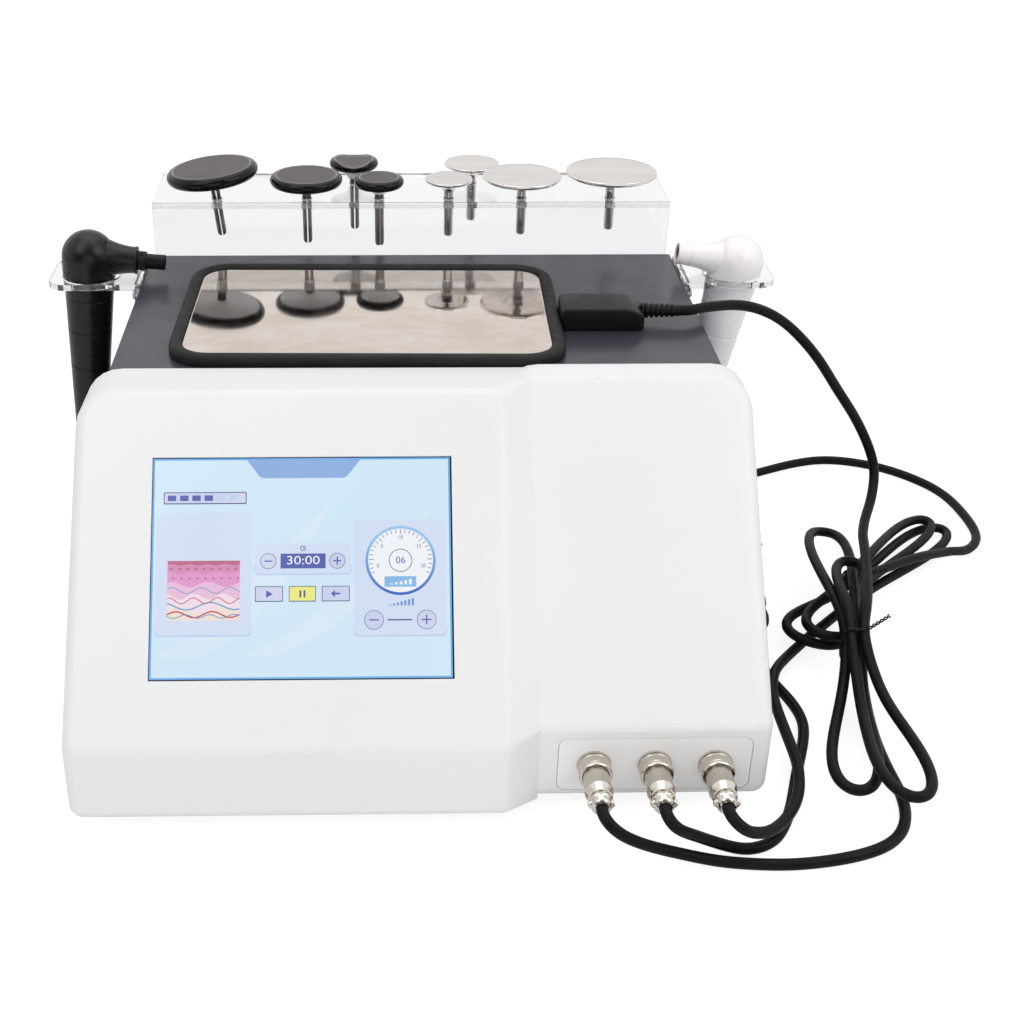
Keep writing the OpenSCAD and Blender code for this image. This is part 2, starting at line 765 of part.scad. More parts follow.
module fuse_drawer() color(black_abs) {
    translate([inlet_x, box_rear, inlet_z]) facing_rear() mirror([0, 1, 0])
        translate([0, drawer_at, 0]) {
            difference() {
                translate([-drawer_size.x / 2, -drawer_size.y / 2, inlet_flange_t - drawer_size.z])
                    cube(drawer_size);
                // Bed of the fuse, open to one side
                translate([-7, -2.7, -15]) cube([14, drawer_size.y, 13]);
            }
            // Fuse, standing in its bed
            translate([0, 0.2, -15]) cylinder(d = 5.2, h = 13);
            // Finger lip
            translate([-4, -drawer_size.y / 2, inlet_flange_t - eps]) cube([8, 1.4, 1.5]);
        }
}

module power_rocker() color(black_abs) {
    translate([inlet_x, box_rear, inlet_z]) facing_rear() mirror([0, 1, 0])
        translate([0, rocker_at, -rocker_depth]) difference() {
            // At rest the lower half is pressed in
            rotate([rocker_travel / 2, 0, 0]) intersection() {
                translate([-rocker_size.x / 2, -rocker_size.y / 2, -4.5])
                    cube([rocker_size.x, rocker_size.y, rocker_size.z + 1]);
                facing_side(1) cylinder(r = rocker_size.y / 2 - 0.1, h = 2 * rocker_size.x,
                                        center = true);
                union() for (s = [-1, 1])
                    translate([-rocker_size.x, s > 0 ? 0 : -rocker_size.y, -8])
                        cube([2 * rocker_size.x, rocker_size.y, 14]);
            }
            facing_side(1) cylinder(r = rocker_pin_r + run_gap, h = 2 * rocker_size.x,
                                    center = true);
        }
}

// Feet and screws

module feet() color(black_rubber) {
    for (p = concat(front_feet, rear_feet)) translate([p.x, p.y, 0]) difference() {
        cylinder(d = foot_d, h = foot_h);
        translate([0, 0, -over]) cylinder(r = 4.2, h = foot_recess + over);
        cylinder(r = m4_hole_r, h = foot_h + over);
    }
}

module foot_screws() color(zinc) {
    for (p = concat(front_feet, rear_feet)) translate([p.x, p.y, foot_recess]) {
        translate([0, 0, -2.2]) cylinder(r = 3.6, h = 2.2);
        cylinder(r = m4_r, h = m4_l - eps);
    }
    for (p = rear_feet) translate([p.x, p.y, pan_top]) difference() {
        cylinder(d = 7 / cos(30), h = 3, $fn = 6);
        translate([0, 0, -over]) cylinder(r = m4_r + run_gap, h = 3 + 2 * over);
    }
}

module m3_screws() color(zinc) {
    for (p = casing_screws)
        translate([p.x, box_front, p.y]) facing_rear() m3_screw(12);
    on_face() for (p = lcd_screws)
        translate([p.x, p.y, -lcd_back]) rotate([180, 0, 0]) m3_screw(ear_t + lcd_boss_l - 0.6);
    for (s = [-1, 1], y = side_screw_ys)
        translate([s * box_side, y, side_screw_z]) facing_side(s) m3_bolt(2 * sheet);
    for (s = [-1, 1], y = holder_screw_ys)
        translate([s * (box_side + holder_t), y, holder_screw_z]) facing_side(s)
            m3_bolt(sheet + holder_t);
    for (x = rear_screw_xs)
        translate([x, box_rear, rear_screw_z]) facing_rear() m3_bolt(2 * sheet);
    for (x = rack_screw_xs)
        translate([x, box_rear + rack_t, rack_screw_z]) facing_rear() m3_bolt(2 * sheet + rack_t);
    for (p = fan_holes)
        translate([p.x, box_rear + guard_t, p.y]) facing_rear() m3_bolt(guard_t + sheet + fan_d);
}

// Electrode rack

shelf_top = box_top + shelf_rise;
front_row_y = box_rear + front_row;
rear_row_y = box_rear + rear_row;
hole_r = pin_d / 2 + pin_play;
// Places of the pins along the two rows, from the left
coated_large_x = -129.3;
coated_medium_x = -69.7;
coated_saddle_x = -38.6;
coated_small_x = -21.5;
steel_small_x = 24.7;
steel_rear_x = 41.6;
steel_medium_x = 73.4;
steel_large_x = 132.5;
front_xs = [coated_large_x, coated_medium_x, coated_small_x,
            steel_small_x, steel_medium_x, steel_large_x];
rear_xs = [coated_saddle_x, steel_rear_x];

module electrode_rack() color(clear) {
    difference() {
        union() {
            translate([-rack_w / 2, box_rear, shelf_top - rack_t])
                cube([rack_w, shelf_d, rack_t]);
            translate([-rack_w / 2, box_rear, box_top - rack_drop])
                cube([rack_w, rack_t, rack_drop + shelf_rise - rack_t + eps]);
        }
        for (x = front_xs)
            translate([x, front_row_y, shelf_top - rack_t - over])
                cylinder(r = hole_r, h = rack_t + 2 * over);
        for (x = rear_xs)
            translate([x, rear_row_y, shelf_top - rack_t - over])
                cylinder(r = hole_r, h = rack_t + 2 * over);
        for (x = rack_screw_xs)
            translate([x, box_rear - over, rack_screw_z]) facing_rear()
                cylinder(r = m3_hole_r, h = rack_t + 2 * over);
    }
}

// Split pin that hangs from its own top, with a stub that goes into the hub
stub_r = 1.5;
stub_l = 3;
module split_pin(l, turn) {
    rotate(turn) difference() {
        union() {
            translate([0, 0, -l]) cylinder(d = pin_d, h = l);
            cylinder(r = stub_r, h = stub_l);
        }
        translate([-pin_slot / 2, -pin_d, -l - over])
            cube([pin_slot, 2 * pin_d, l * 0.85 + over]);
    }
}
module stub_hole() {
    translate([0, 0, -over]) cylinder(r = stub_r + run_gap, h = stub_l + over);
}

// Thick coated disc: flat top, round rim and a conical hub, from the hub's underside
module coated_disc(d, t, top, hub_d) {
    rim = t / 2;
    color(black_rubber) difference() {
        union() {
            translate([0, 0, top - t]) {
                cylinder(d = d - t, h = t);
                translate([0, 0, rim]) rotate_extrude() translate([d / 2 - rim, 0]) circle(rim);
            }
            cylinder(d1 = hub_d, d2 = hub_d * 1.8, h = top - t + eps);
        }
        stub_hole();
    }
}
// Thin bare disc on a conical hub
module bare_disc(d, t, top, hub_d) {
    color(steel) difference() {
        union() {
            translate([0, 0, top - t]) cylinder(d1 = d - 2 * t, d2 = d, h = t * 0.6);
            translate([0, 0, top - t * 0.4]) cylinder(d = d, h = t * 0.4);
            cylinder(d1 = hub_d, d2 = min(d * 0.55, hub_d * 2.6), h = top - t + eps);
        }
        stub_hole();
    }
}

// Heights of the hub undersides above the shelf, as the pins stick in their holes
module standing(x, y, height) { translate([x, y, shelf_top + height]) children(); }

module coated_disc_large() {
    standing(coated_large_x, front_row_y, -rack_t / 2) rotate([0, -large_disc_lean, 0])
        translate([0, 0, rack_t / 2 + 10.4]) {
            coated_disc(60.5, 8, 10.7, 9);
            color(steel) split_pin(coated_pin_l, 12);
        }
}
module coated_disc_medium() {
    standing(coated_medium_x, front_row_y, 5) {
        coated_disc(48, 6.8, 10.7, 9);
        color(steel) split_pin(coated_pin_l, 5);
    }
}
module coated_disc_small() {
    standing(coated_small_x, front_row_y, 3) {
        coated_disc(33, 6.4, 11, 8.5);
        color(steel) split_pin(coated_pin_l, 12);
    }
}
// The saddle-shaped disc has a hollow across its top
module coated_disc_saddle() {
    standing(coated_saddle_x, rear_row_y, 3.4) {
        difference() {
            coated_disc(33, 6.2, 13.2, 8.5);
            translate([0, 0, 13.2 + 26]) rotate([90, 0, 0])
                cylinder(r = 28.2, h = 40, center = true, $fn = 96);
        }
        color(steel) split_pin(coated_pin_l, 0);
    }
}
module steel_disc_large() {
    standing(steel_large_x, front_row_y, 8.5) {
        bare_disc(60, 3, 9.4, 10);
        color(steel) split_pin(pin_l, -35);
    }
}
module steel_disc_medium() {
    standing(steel_medium_x, front_row_y, 5.4) {
        bare_disc(52, 3, 9.6, 10);
        color(steel) split_pin(pin_l, -38);
    }
}
module steel_disc_small() {
    standing(steel_small_x, front_row_y, 4.5) {
        bare_disc(31.5, 2.4, 8.6, 8.5);
        color(steel) split_pin(pin_l, -40);
    }
}
module steel_disc_rear() {
    standing(steel_rear_x, rear_row_y, 4) {
        bare_disc(37, 2.4, 9.6, 8.5);
        color(steel) split_pin(pin_l, -20);
    }
}

// Handle holders

holder_top = box_top + holder_rise;
hole_x = box_side + hole_reach;
handle_y = box_front + hole_y;
holder_front = handle_y - holder_d * 0.4;
holder_corner_r = 12;
// s is 1 for the right-hand holder and -1 for the left-hand one
module holder(s) {
    mirror([s < 0 ? 1 : 0, 0, 0]) color(clear) difference() {
        union() {
            translate([box_side, holder_front, holder_top - holder_t]) {
                cube([holder_reach - holder_corner_r, holder_d, holder_t]);
                translate([0, holder_corner_r, 0])
                    cube([holder_reach, holder_d - 2 * holder_corner_r, holder_t]);
                for (y = [holder_corner_r, holder_d - holder_corner_r])
                    translate([holder_reach - holder_corner_r, y, 0])
                        cylinder(r = holder_corner_r, h = holder_t);
            }
            translate([box_side, holder_front, holder_top - holder_flange])
                cube([holder_t, holder_d, holder_flange - holder_t + eps]);
        }
        translate([hole_x, handle_y, holder_top - holder_t - over])
            cylinder(r = holder_hole_r, h = holder_t + 2 * over);
        for (y = holder_screw_ys)
            translate([box_side - over, y, holder_screw_z]) facing_side(1)
                cylinder(r = m3_hole_r, h = holder_t + 2 * over);
    }
}

// Handles, drawn upright round the middle of the head, with the nozzle along +X

// The nozzle's flare, as distances from the middle of the head and radii
root_s = 12;
root_r = 12.4;
neck_s = 21;
neck_r = 9.4;
black_nozzle_s = 31.3;
black_nozzle_r = 8.2;
white_nozzle_s = 31.3;
white_nozzle_r = 7.2;
// Joint between the head and the body, below the middle of the head
split_u = 26;
body_top_r = 15.4;
body_end_r = 9.6;
boot_l = 16;
boot_r = 6;
shift_out = 1.6;

// How far below the head's middle the nozzle's underside passes the hole's edge
function lean_point(s, r, lean) = [s * cos(lean) - r * sin(lean), -s * sin(lean) - r * cos(lean)];
function underside(reach, lean) =
    let (a = lean_point(root_s, root_r, lean), b = lean_point(neck_s, neck_r, lean))
    a.y + (reach - a.x) * (b.y - a.y) / (b.x - a.x);
// Height of the head's middle above the holder; lean is positive with the nozzle down
function head_rise(lean) =
    let (guess = 12, x1 = holder_hole_r + shift_out + guess * tan(-lean))
    let (rise = loose_gap - underside(x1, lean),
         x2 = holder_hole_r + shift_out + rise * tan(-lean))
    loose_gap - underside(x2, lean);
// Place of the head's middle, out from the hole's middle and above the holder
function head_at(lean) = let (h = head_rise(lean)) [shift_out - h * tan(lean), h];

module in_holder(s, lean) {
    p = head_at(lean);
    translate([s * (hole_x + p.x), handle_y, holder_top + p.y])
        mirror([s > 0 ? 1 : 0, 0, 0]) rotate([0, lean, 0]) children();
}

module handle_head(nozzle_s, nozzle_r) {
    difference() {
        union() {
            sphere(head_r);
            translate([0, 0, -split_u]) rotate_extrude() polygon([
                [0, 0], [body_top_r, 0], [body_top_r + 0.3, split_u - 12],
                [head_r - 1, split_u - 6.5], [head_r - 0.2, split_u - 2.5], [0, split_u]]);
            facing_side(1) rotate_extrude() polygon([
                [0, 0], [root_r, root_s - 2], [root_r, root_s],
                [(root_r + neck_r) / 2, (root_s + neck_s) / 2], [neck_r, neck_s],
                [nozzle_r, nozzle_s], [0, nozzle_s]]);
        }
        // Way of the electrode socket
        facing_side(1) translate([0, 0, nozzle_s - bore_l]) cylinder(r = 5.1, h = bore_l + over);
        // Way of the wires, down into the body
        translate([0, 0, -split_u - over]) cylinder(r = 6, h = split_u - 2);
        translate([0, 0, -split_u - over]) cylinder(r = 11, h = 6 + over);
    }
}

module handle_body() {
    difference() {
        union() {
            translate([0, 0, -handle_l]) rotate_extrude() polygon([
                [0, 0], [body_end_r - 1.6, 0], [body_end_r, 1.6],
                [body_end_r + 0.9, 14], [14.2, handle_l - 50],
                [body_top_r, handle_l - split_u], [0, handle_l - split_u]]);
            // Spigot that goes up into the head
            translate([0, 0, -split_u - eps]) cylinder(r = 11 - run_gap, h = 5.5);
            // Boot round the cord
            translate([0, 0, -handle_l - boot_l])
                cylinder(r1 = boot_r - 1.6, r2 = boot_r, h = boot_l + eps);
        }
        translate([0, 0, -handle_l + 8]) cylinder(r = 6, h = handle_l);
        // Grooves of the two seams in the grip
        for (u = [49, 74]) translate([0, 0, -u]) difference() {
            cylinder(r = head_r, h = 0.6);
            translate([0, 0, -over])
                cylinder(r = body_top_r - (u - split_u) * 0.046 - 0.5, h = 3);
        }
    }
}

// Collar and insulated stub of the black handle, with the bore for an electrode's pin
collar_r = 6.1;
black_tip_r = 4.9;
black_tip_s = 49;
collar_s = 36.8;
module black_handle_socket() color(black_abs) {
    in_holder(-1, black_lean) facing_side(1) difference() {
        union() {
            translate([0, 0, black_nozzle_s - bore_l + over])
                cylinder(r = 5, h = bore_l - over);
            translate([0, 0, black_nozzle_s]) cylinder(r = collar_r, h = collar_s - black_nozzle_s);
            translate([0, 0, collar_s - eps]) cylinder(r = black_tip_r,
                                                       h = black_tip_s - collar_s);
        }
        translate([0, 0, black_tip_s - bore_l]) cylinder(d = bore_d, h = bore_l + over);
    }
}
white_tip_s = 40;
module white_handle_socket() color([0.45, 0.28, 0.18]) {
    in_holder(1, -white_lean) facing_side(1) difference() {
        translate([0, 0, white_nozzle_s - bore_l + over])
            cylinder(r = 5, h = white_tip_s - white_nozzle_s + bore_l - over - 0.8);
        translate([0, 0, white_tip_s - 0.8 - bore_l]) cylinder(d = bore_d, h = bore_l + over);
    }
}
module black_handle_head() color(black_abs) {
    in_holder(-1, black_lean) handle_head(black_nozzle_s, black_nozzle_r);
}
module black_handle_body() color(black_abs) { in_holder(-1, black_lean) handle_body(); }
// The white head carries a short sleeve round its socket
module white_handle_head() color(white_abs) {
    in_holder(1, -white_lean) {
        handle_head(white_nozzle_s, white_nozzle_r);
        facing_side(1) translate([0, 0, white_nozzle_s - eps]) difference() {
            cylinder(r = white_nozzle_r - 0.2, h = white_tip_s - white_nozzle_s);
            translate([0, 0, -over]) cylinder(r = 5.1, h = white_tip_s);
        }
    }
}
module white_handle_body() color(white_abs) { in_holder(1, -white_lean) handle_body(); }

// Return plate

plate_at = [-27.5, box_front + 79];
plate_turn = -1;
steel_z = box_top + rim_floor;
tab_w = 20;
tab_l = rim_w + 8;
plug_y = -7.5;
relief_l = 22;
relief_r = 4.6;
relief_z = 8;
rib_count = 8;
module on_plate() {
    translate([plate_at.x, plate_at.y, box_top]) rotate(plate_turn) children();
}

module plate_rim() color(black_rubber) {
    on_plate() difference() {
        rounded_plate(plate_w, plate_d, rim_h, rim_r);
        translate([0, 0, rim_floor])
            rounded_plate(plate_w - 2 * rim_w, plate_d - 2 * rim_w, rim_h, rim_r - rim_w);
        // Slot of the steel plate's tab
        translate([plate_w / 2 - rim_w - over, plug_y - tab_w / 2 - loose_gap, rim_floor])
            cube([rim_w + 2 * over, tab_w + 2 * loose_gap, steel_t + 0.1]);
    }
}

module return_plate() color(steel) {
    on_plate() translate([0, 0, rim_floor]) {
        rounded_plate(plate_w - 2 * rim_w - 0.2, plate_d - 2 * rim_w - 0.2, steel_t,
                      rim_r - rim_w - 0.1);
        translate([plate_w / 2 - rim_w - over, plug_y - tab_w / 2, 0])
            cube([tab_l + over, tab_w, steel_t]);
    }
}

module plate_plug() color(black_abs) {
    on_plate() translate([plate_w / 2, plug_y, 0]) {
        difference() {
            // Block with a bevelled far end
            translate([0, block_w / 2, 0]) rotate([90, 0, 0]) linear_extrude(block_w) polygon([
                [0, 0.3], [block_l, 0.3], [block_l, block_h * 0.62],
                [block_l - 9, block_h], [1.5, block_h], [0, block_h - 1.5]]);
            translate([-over, -tab_w / 2 - loose_gap, rim_floor])
                cube([tab_l - rim_w + 2 * over, tab_w + 2 * loose_gap, steel_t + 0.1]);
        }
        // Ribbed strain relief
        translate([block_l - eps, 0, relief_z]) facing_side(1) {
            cylinder(r1 = relief_r - 0.8, r2 = relief_r - 1.2, h = relief_l);
            for (i = [0 : rib_count - 1])
                translate([0, 0, 1.4 + i * (relief_l - 4) / (rib_count - 1)])
                    cylinder(r = relief_r - 0.12 * i, h = 1.3);
        }
    }
}

// Sockets, coupling rings and cable plugs, drawn along +Z out of the panel

flange_t = 1.5;
neck_l = 7.6;
ring_start = 0.15;
lip_t = 1.2;
thread_l = 16;
socket_nut_t = 2.5;
contact_n = 4;
module at_socket(i) { translate([socket_xs[i], step_d, socket_z]) facing_front() children(); }

module socket(i) color(nickel) at_socket(i) {
    difference() {
        union() {
            cylinder(d = ring_d + 0.4, h = flange_t);
            translate([0, 0, -thread_l])
                cylinder(d = socket_d, h = thread_l + flange_t + neck_l - 1);
        }
        translate([0, 0, -6]) cylinder(d = socket_bore, h = 30);
    }
    for (a = [0 : 360 / contact_n : 359]) rotate(a + 45)
        translate([3.4, 0, -thread_l - 4]) cylinder(d = 1.4, h = thread_l + 4 + 3);
    translate([0, 0, -wall - socket_nut_t]) difference() {
        cylinder(d = 22, h = socket_nut_t, $fn = 6);
        translate([0, 0, -over]) cylinder(d = socket_d + 0.1, h = socket_nut_t + 2 * over);
    }
}

ring_base = flange_t + ring_start;
neck_top = flange_t + neck_l - 1;
module coupling_ring(i) color(nickel) at_socket(i) {
    difference() {
        union() {
            translate([0, 0, ring_base]) cylinder(d = ring_d, h = ring_l - 0.8);
            translate([0, 0, ring_base + ring_l - 0.8 - eps])
                cylinder(d1 = ring_d, d2 = ring_d - 1.2, h = 0.8);
        }
        translate([0, 0, -over])
            cylinder(d = socket_d + 2 * run_gap, h = ring_base + ring_l - lip_t + over);
        translate([0, 0, ring_base]) cylinder(d = barrel_d + 2 * run_gap, h = ring_l + over);
    }
}

// Outside lengths of the plug's stages are shares of its length
stage = plug_l / 26;
module cable_plug(i) color(nickel) at_socket(i) {
    ring_end = ring_base + ring_l;
    difference() {
        union() {
            // Insert in the socket and shoulder under the ring's lip
            translate([0, 0, neck_top - 6]) cylinder(d = socket_bore - 2 * run_gap, h = 6 + eps);
            translate([0, 0, neck_top + 0.1])
                cylinder(d = socket_d - 0.2, h = ring_end - lip_t - neck_top - 0.3);
            // Barrel, flared collar and cord clamp
            translate([0, 0, neck_top])
                cylinder(d = barrel_d, h = ring_end - neck_top + 12 * stage);
            translate([0, 0, ring_end + 12 * stage - eps])
                cylinder(d1 = barrel_d + 0.8, d2 = barrel_d - 1.6, h = 6 * stage);
            translate([0, 0, ring_end + 18 * stage - eps])
                cylinder(d = barrel_d - 3, h = 8 * stage);
        }
        // Holes that the socket's contacts go into
        for (a = [0 : 360 / contact_n : 359]) rotate(a + 45)
            translate([3.4, 0, neck_top - 7]) cylinder(d = 1.9, h = 5);
    }
    // Two screws of the cord clamp
    for (s = [-1, 1])
        translate([s * (barrel_d / 2 - 2.2), 0, ring_end + 22 * stage]) facing_side(s)
            cylinder(d = 3.4, h = 2.2);
}

// Cords, as tubes swept along points

cord_r = cord_d / 2;
lay_z = cord_r;
function turned(v, t) = let (w = v - (v * t) * t) w / norm(w);
function tangent(p, i) = unit(p[min(i + 1, len(p) - 1)] - p[max(i - 1, 0)]);
// A side direction for each point, carried along the path without twist
function carried(p, first) =
    [for (i = 0, n = turned(first, tangent(p, 0)); i < len(p);
          i = i + 1, n = i < len(p) ? turned(n, tangent(p, i)) : n) n];
module tube(path, r, sides, first = [0.3, 0.2, 1]) {
    side = carried(path, first);
    n = len(path);
    points = [for (i = [0 : n - 1], k = [0 : sides - 1])
        let (t = tangent(path, i), a = 360 * k / sides)
        path[i] + r * (cos(a) * side[i] + sin(a) * cross(t, side[i]))];
    walls = [for (i = [0 : n - 2], k = [0 : sides - 1])
        let (a = i * sides + k, b = i * sides + (k + 1) % sides)
        each [[a, b + sides, b], [a, a + sides, b + sides]]];
    ends = [for (k = [1 : sides - 2]) each
        [[0, k, k + 1], [(n - 1) * sides, (n - 1) * sides + k + 1, (n - 1) * sides + k]]];
    polyhedron(points, concat(walls, ends), convexity = 12);
}

// Smooth curve through hand-chosen points, with a count of steps between each pair
function blend(a, b, c, d, t) =
    0.5 * (2 * b + (c - a) * t + (2 * a - 5 * b + 4 * c - d) * t * t
           + (3 * b - a - 3 * c + d) * t * t * t);
function spline(p, steps) = concat(
    [for (i = [0 : len(p) - 2], s = [0 : steps - 1])
        laid(blend(p[max(i - 1, 0)], p[i], p[i + 1], p[min(i + 2, len(p) - 1)], s / steps))],
    [p[len(p) - 1]]);
function laid(q) = [q.x, q.y, max(q.z, cord_r)];

// Hanks: loops drawn in at a waist, each half loop a lobe out to its own tip

function ease(t) = let (c = min(max(t, 0), 1)) c * c * (3 - 2 * c);
// Layers climbed at turn t: one in each turn, along the run that leads down to the lower lobe
climb_end = 0.5;
climb_run = 0.2;
function climbed(t) = floor(t) + ease((t - floor(t) - climb_end) / climb_run + 1);
// Point of a lobe at a share p of its run, out from the waist to its tip and back
function lobe_point(waist, tip, belly, p) =
    let (v = tip - waist, e = unit(v), n = right_of(e))
    waist + v * sin(180 * p)
    + n * (neck_half * cos(180 * p) + 1.3 * belly * sin(180 * p) * sin(360 * p));
// Shares of a lobe's run, closer together at the waist than evenly spaced ones
function share(u) = u - 0.07 * sin(360 * u);
// Loops from upper and lower tips in turn, each lobe with its own belly
function hank_path(waist, tips, bellies) =
    [for (j = [0 : len(tips) - 1], k = [0 : lobe_rings - 1])
        let (p = share(k / lobe_rings), q = lobe_point(waist, tips[j], bellies[j], p))
        [q.x, q.y, bed_z + layer_h * climbed((j + p) / 2)]];
function smoothed(p) = [for (i = [0 : len(p) - 1])
    (i < 2 || i > len(p) - 3) ? p[i] : (p[i - 1] + 2 * p[i] + p[i + 1]) / 4];
// Least distance between stretches of a path that are at least skip points apart
function apart(p, q, a) =
    let (v = q - p, t = min(max(((a - p) * v) / (v * v), 0), 1)) norm(p + t * v - a);
function least_gap(path, skip) = min([for (i = [0 : len(path) - 1])
    for (j = [i + skip : 1 : len(path) - 2]) apart(path[j], path[j + 1], path[i])]) - cord_d;
function gap_between(a, b) = min([for (i = [0 : len(a) - 1])
    for (j = [0 : len(b) - 2]) apart(b[j], b[j + 1], a[i])]) - cord_d;

tube_sides = 8;
hank_sides = 6;
lobe_rings = 12;
gap_skip = 5;
layer_h = cord_d + 1.8;
tie_t = 1.2;
tie_w = 2.5;
tie_gap = 0.3;
bed_z = cord_r + tie_t + tie_gap + tie_w / 4;
neck_half = cord_r + 0.6;

// Ends of the pieces that the cords leave
plug_end_y = step_d - flange_t - ring_start - ring_l - plug_l;
function plug_end(i) = [socket_xs[i], plug_end_y, socket_z];
function plate_point(p) = let (c = cos(plate_turn), s = sin(plate_turn))
    [plate_at.x + c * p.x - s * p.y, plate_at.y + s * p.x + c * p.y, box_top + p.z];
relief_end = plate_point([plate_w / 2 + block_l + relief_l - eps, plug_y, relief_z]);
relief_way = plate_point([plate_w / 2 + block_l + relief_l + cord_d, plug_y, relief_z]);
function handle_point(s, lean, u) = let (p = head_at(lean))
    [s * (hole_x + p.x + u * sin(lean)), handle_y, holder_top + p.y - u * cos(lean)];
boot_u = handle_l + boot_l;

// The plate's cord: socket 1, hank on the floor, arch up to the plate's plug
plate_waist = [266, 128];
plate_tips = [[284, 281], [238, 8], [286, 220], [267, -9]];
plate_bellies = [13, 13, 9, 14];
plate_front_route = [
    plug_end(0), plug_end(0) - [0, cord_d, 0], [100, -33, 27], [114, -31, 17],
    [136, -29, 8], [162, -31, lay_z], [193, -33, lay_z], [226, -28, lay_z],
    [250, -18, lay_z], [263, -2, lay_z], [268, 20, lay_z], [267, 46, lay_z],
    [267, 66, lay_z + 0.3], [267.2, 74, lay_z + 1]];
plate_out = [[270, 130, 41.5], [276, 146, 46], [283, 170, 48], [290, 200, 49], [294, 222, 51]];
plate_rear_route = [
    [294, 222, 51], [295.2, 228.5, 51.6], [301, 245, 54], [309, 262, 61], [312, 277, 78],
    [299, 283, 105], [279, 277, 133], [258, 270, 162], [232, 262, 188],
    [206, 252, 202], [180, 238, 207], relief_way, relief_end];

// The black handle's cord: socket 3, hank under the other, then behind the machine
black_waist = [292, 222];
black_tips = [[388, 318], [245, 156], [374, 316], [254, 150]];
black_bellies = [11, 22, 9, 17];
black_front_route = [
    plug_end(2), plug_end(2) - [0, cord_d, 0], [165, -32, 28], [173, -28, 21],
    [186, -18, 14], [199, -2, 11.4], [208, 16, 11.4], [213, 40, 11.4], [213, 68, 11.4],
    [213, 96, 11.4], [215, 114, 11.4], [221, 132, 10.8], [233, 152, 6.5], [246, 168, bed_z],
    [251, 174, bed_z]];
black_out = [[296, 220.5, 22.6], [312, 230, 22], [331, 244, 20], [352, 259, 16],
    [372, 273, 10]];
black_rear_route = [
    [372, 273, 10], [377.5, 276.5, 8.8], [394, 287, lay_z], [406, 304, lay_z],
    [408, 334, lay_z], [400, 376, lay_z], [370, 411, lay_z], [332, 426, lay_z], [300, 420, lay_z],
    [262, 402, lay_z], [215, 384, lay_z], [160, 374, lay_z], [80, 372, lay_z],
    [0, 372, lay_z], [-80, 372, lay_z], [-150, 370, lay_z], [-190, 360, lay_z],
    [-213, 340, 8], [-222, 322, 20], [-224, 311, 38],
    handle_point(-1, black_lean, boot_u + cord_d), handle_point(-1, black_lean, boot_u)];

// The white handle's cord: socket 2, hank behind the casing's end, then up to the handle
white_waist = [212, 228];
white_tips = [[224, 346], [205, 160], [220, 352], [208, 156], [222, 340], [206, 164]];
white_bellies = [25, 13, 25, 13, 25, 13];
white_out = [[216, 232, bed_z + 3 * layer_h], [214, 250, 37], [207, 272, 40], [198, 291, 39]];
white_rear_route = [
    [198, 291, 39], [195, 296, 38.6], [188, 305, 39], [184.4, 309, 45],
    handle_point(1, -white_lean, boot_u + cord_d), handle_point(1, -white_lean, boot_u)];
white_front_route = [
    plug_end(1), plug_end(1) - [0, cord_d, 0], [131, -32, 28], [142, -27, 19],
    [158, -23, 9], [174, -21, lay_z], [189, -14, lay_z], [202, 8, lay_z], [214, 42, lay_z],
    [225, 72, lay_z], [229, 92, lay_z], [226, 112, lay_z], [220, 130, lay_z],
    [217, 148, lay_z + 0.5], [216, 164, bed_z]];

// Height of the plate's hank where it lies over the black cord's hank
function over_black(p) =
    let (s = ([p.x, p.y] - plate_waist) * plate_along)
    plate_lift * (ease((s + 50) / 78) - ease((s - 132) / 60));
plate_lift = 25;
plate_along = [0.2, 0.98];
black_along = [0.676, 0.737];
white_along = [0.08, 1];
plate_hank_path = concat([[267.2, 74, lay_z + 1], [267.4, 80.5, 5], [268, 97, 9], [269, 112, 15]],
    [for (p = smoothed(hank_path(plate_waist, plate_tips, plate_bellies)))
        p + [0, 0, over_black(p)]], plate_out);
black_hank_path = concat([[251, 174, bed_z], [255.6, 178.6, bed_z], [274, 198, bed_z]],
    smoothed(hank_path(black_waist, black_tips, black_bellies)), black_out);
white_hank_path = concat([[216, 164, bed_z], [216, 170.5, bed_z], [216, 200, bed_z]],
    smoothed(hank_path(white_waist, white_tips, white_bellies)), white_out);

echo(plate_gap = least_gap(plate_hank_path, gap_skip));
echo(black_gap = least_gap(black_hank_path, gap_skip));
echo(white_gap = least_gap(white_hank_path, gap_skip));
echo(plate_black = gap_between(plate_hank_path, black_hank_path));

module hank(path) { tube(path, cord_r, hank_sides); }
// The free stretches stop just short of what they lead to
end_gap = 0.9;
function drawn_back(p) = let (n = len(p) - 1)
    [for (i = [0 : n]) i == 0 ? p[0] + end_gap * unit(p[1] - p[0])
                     : i == n ? p[n] - end_gap * unit(p[n] - p[n - 1]) : p[i]];
module free_cord(route) { tube(drawn_back(spline(route, 2)), cord_r, tube_sides); }
cord_black = [0.12, 0.12, 0.12];
module plate_cord_front() { color(cord_black) free_cord(plate_front_route); }
module plate_hank() { color(cord_black) hank(plate_hank_path); }
module plate_cord_rear() { color(cord_black) free_cord(plate_rear_route); }
module white_cord_front() { color(cord_black) free_cord(white_front_route); }
module white_hank() { color(cord_black) hank(white_hank_path); }
module white_cord_rear() { color(cord_black) free_cord(white_rear_route); }
module black_cord_front() { color(cord_black) free_cord(black_front_route); }
module black_hank() { color(cord_black) hank(black_hank_path); }
module black_cord_rear() { color(cord_black) free_cord(black_rear_route); }

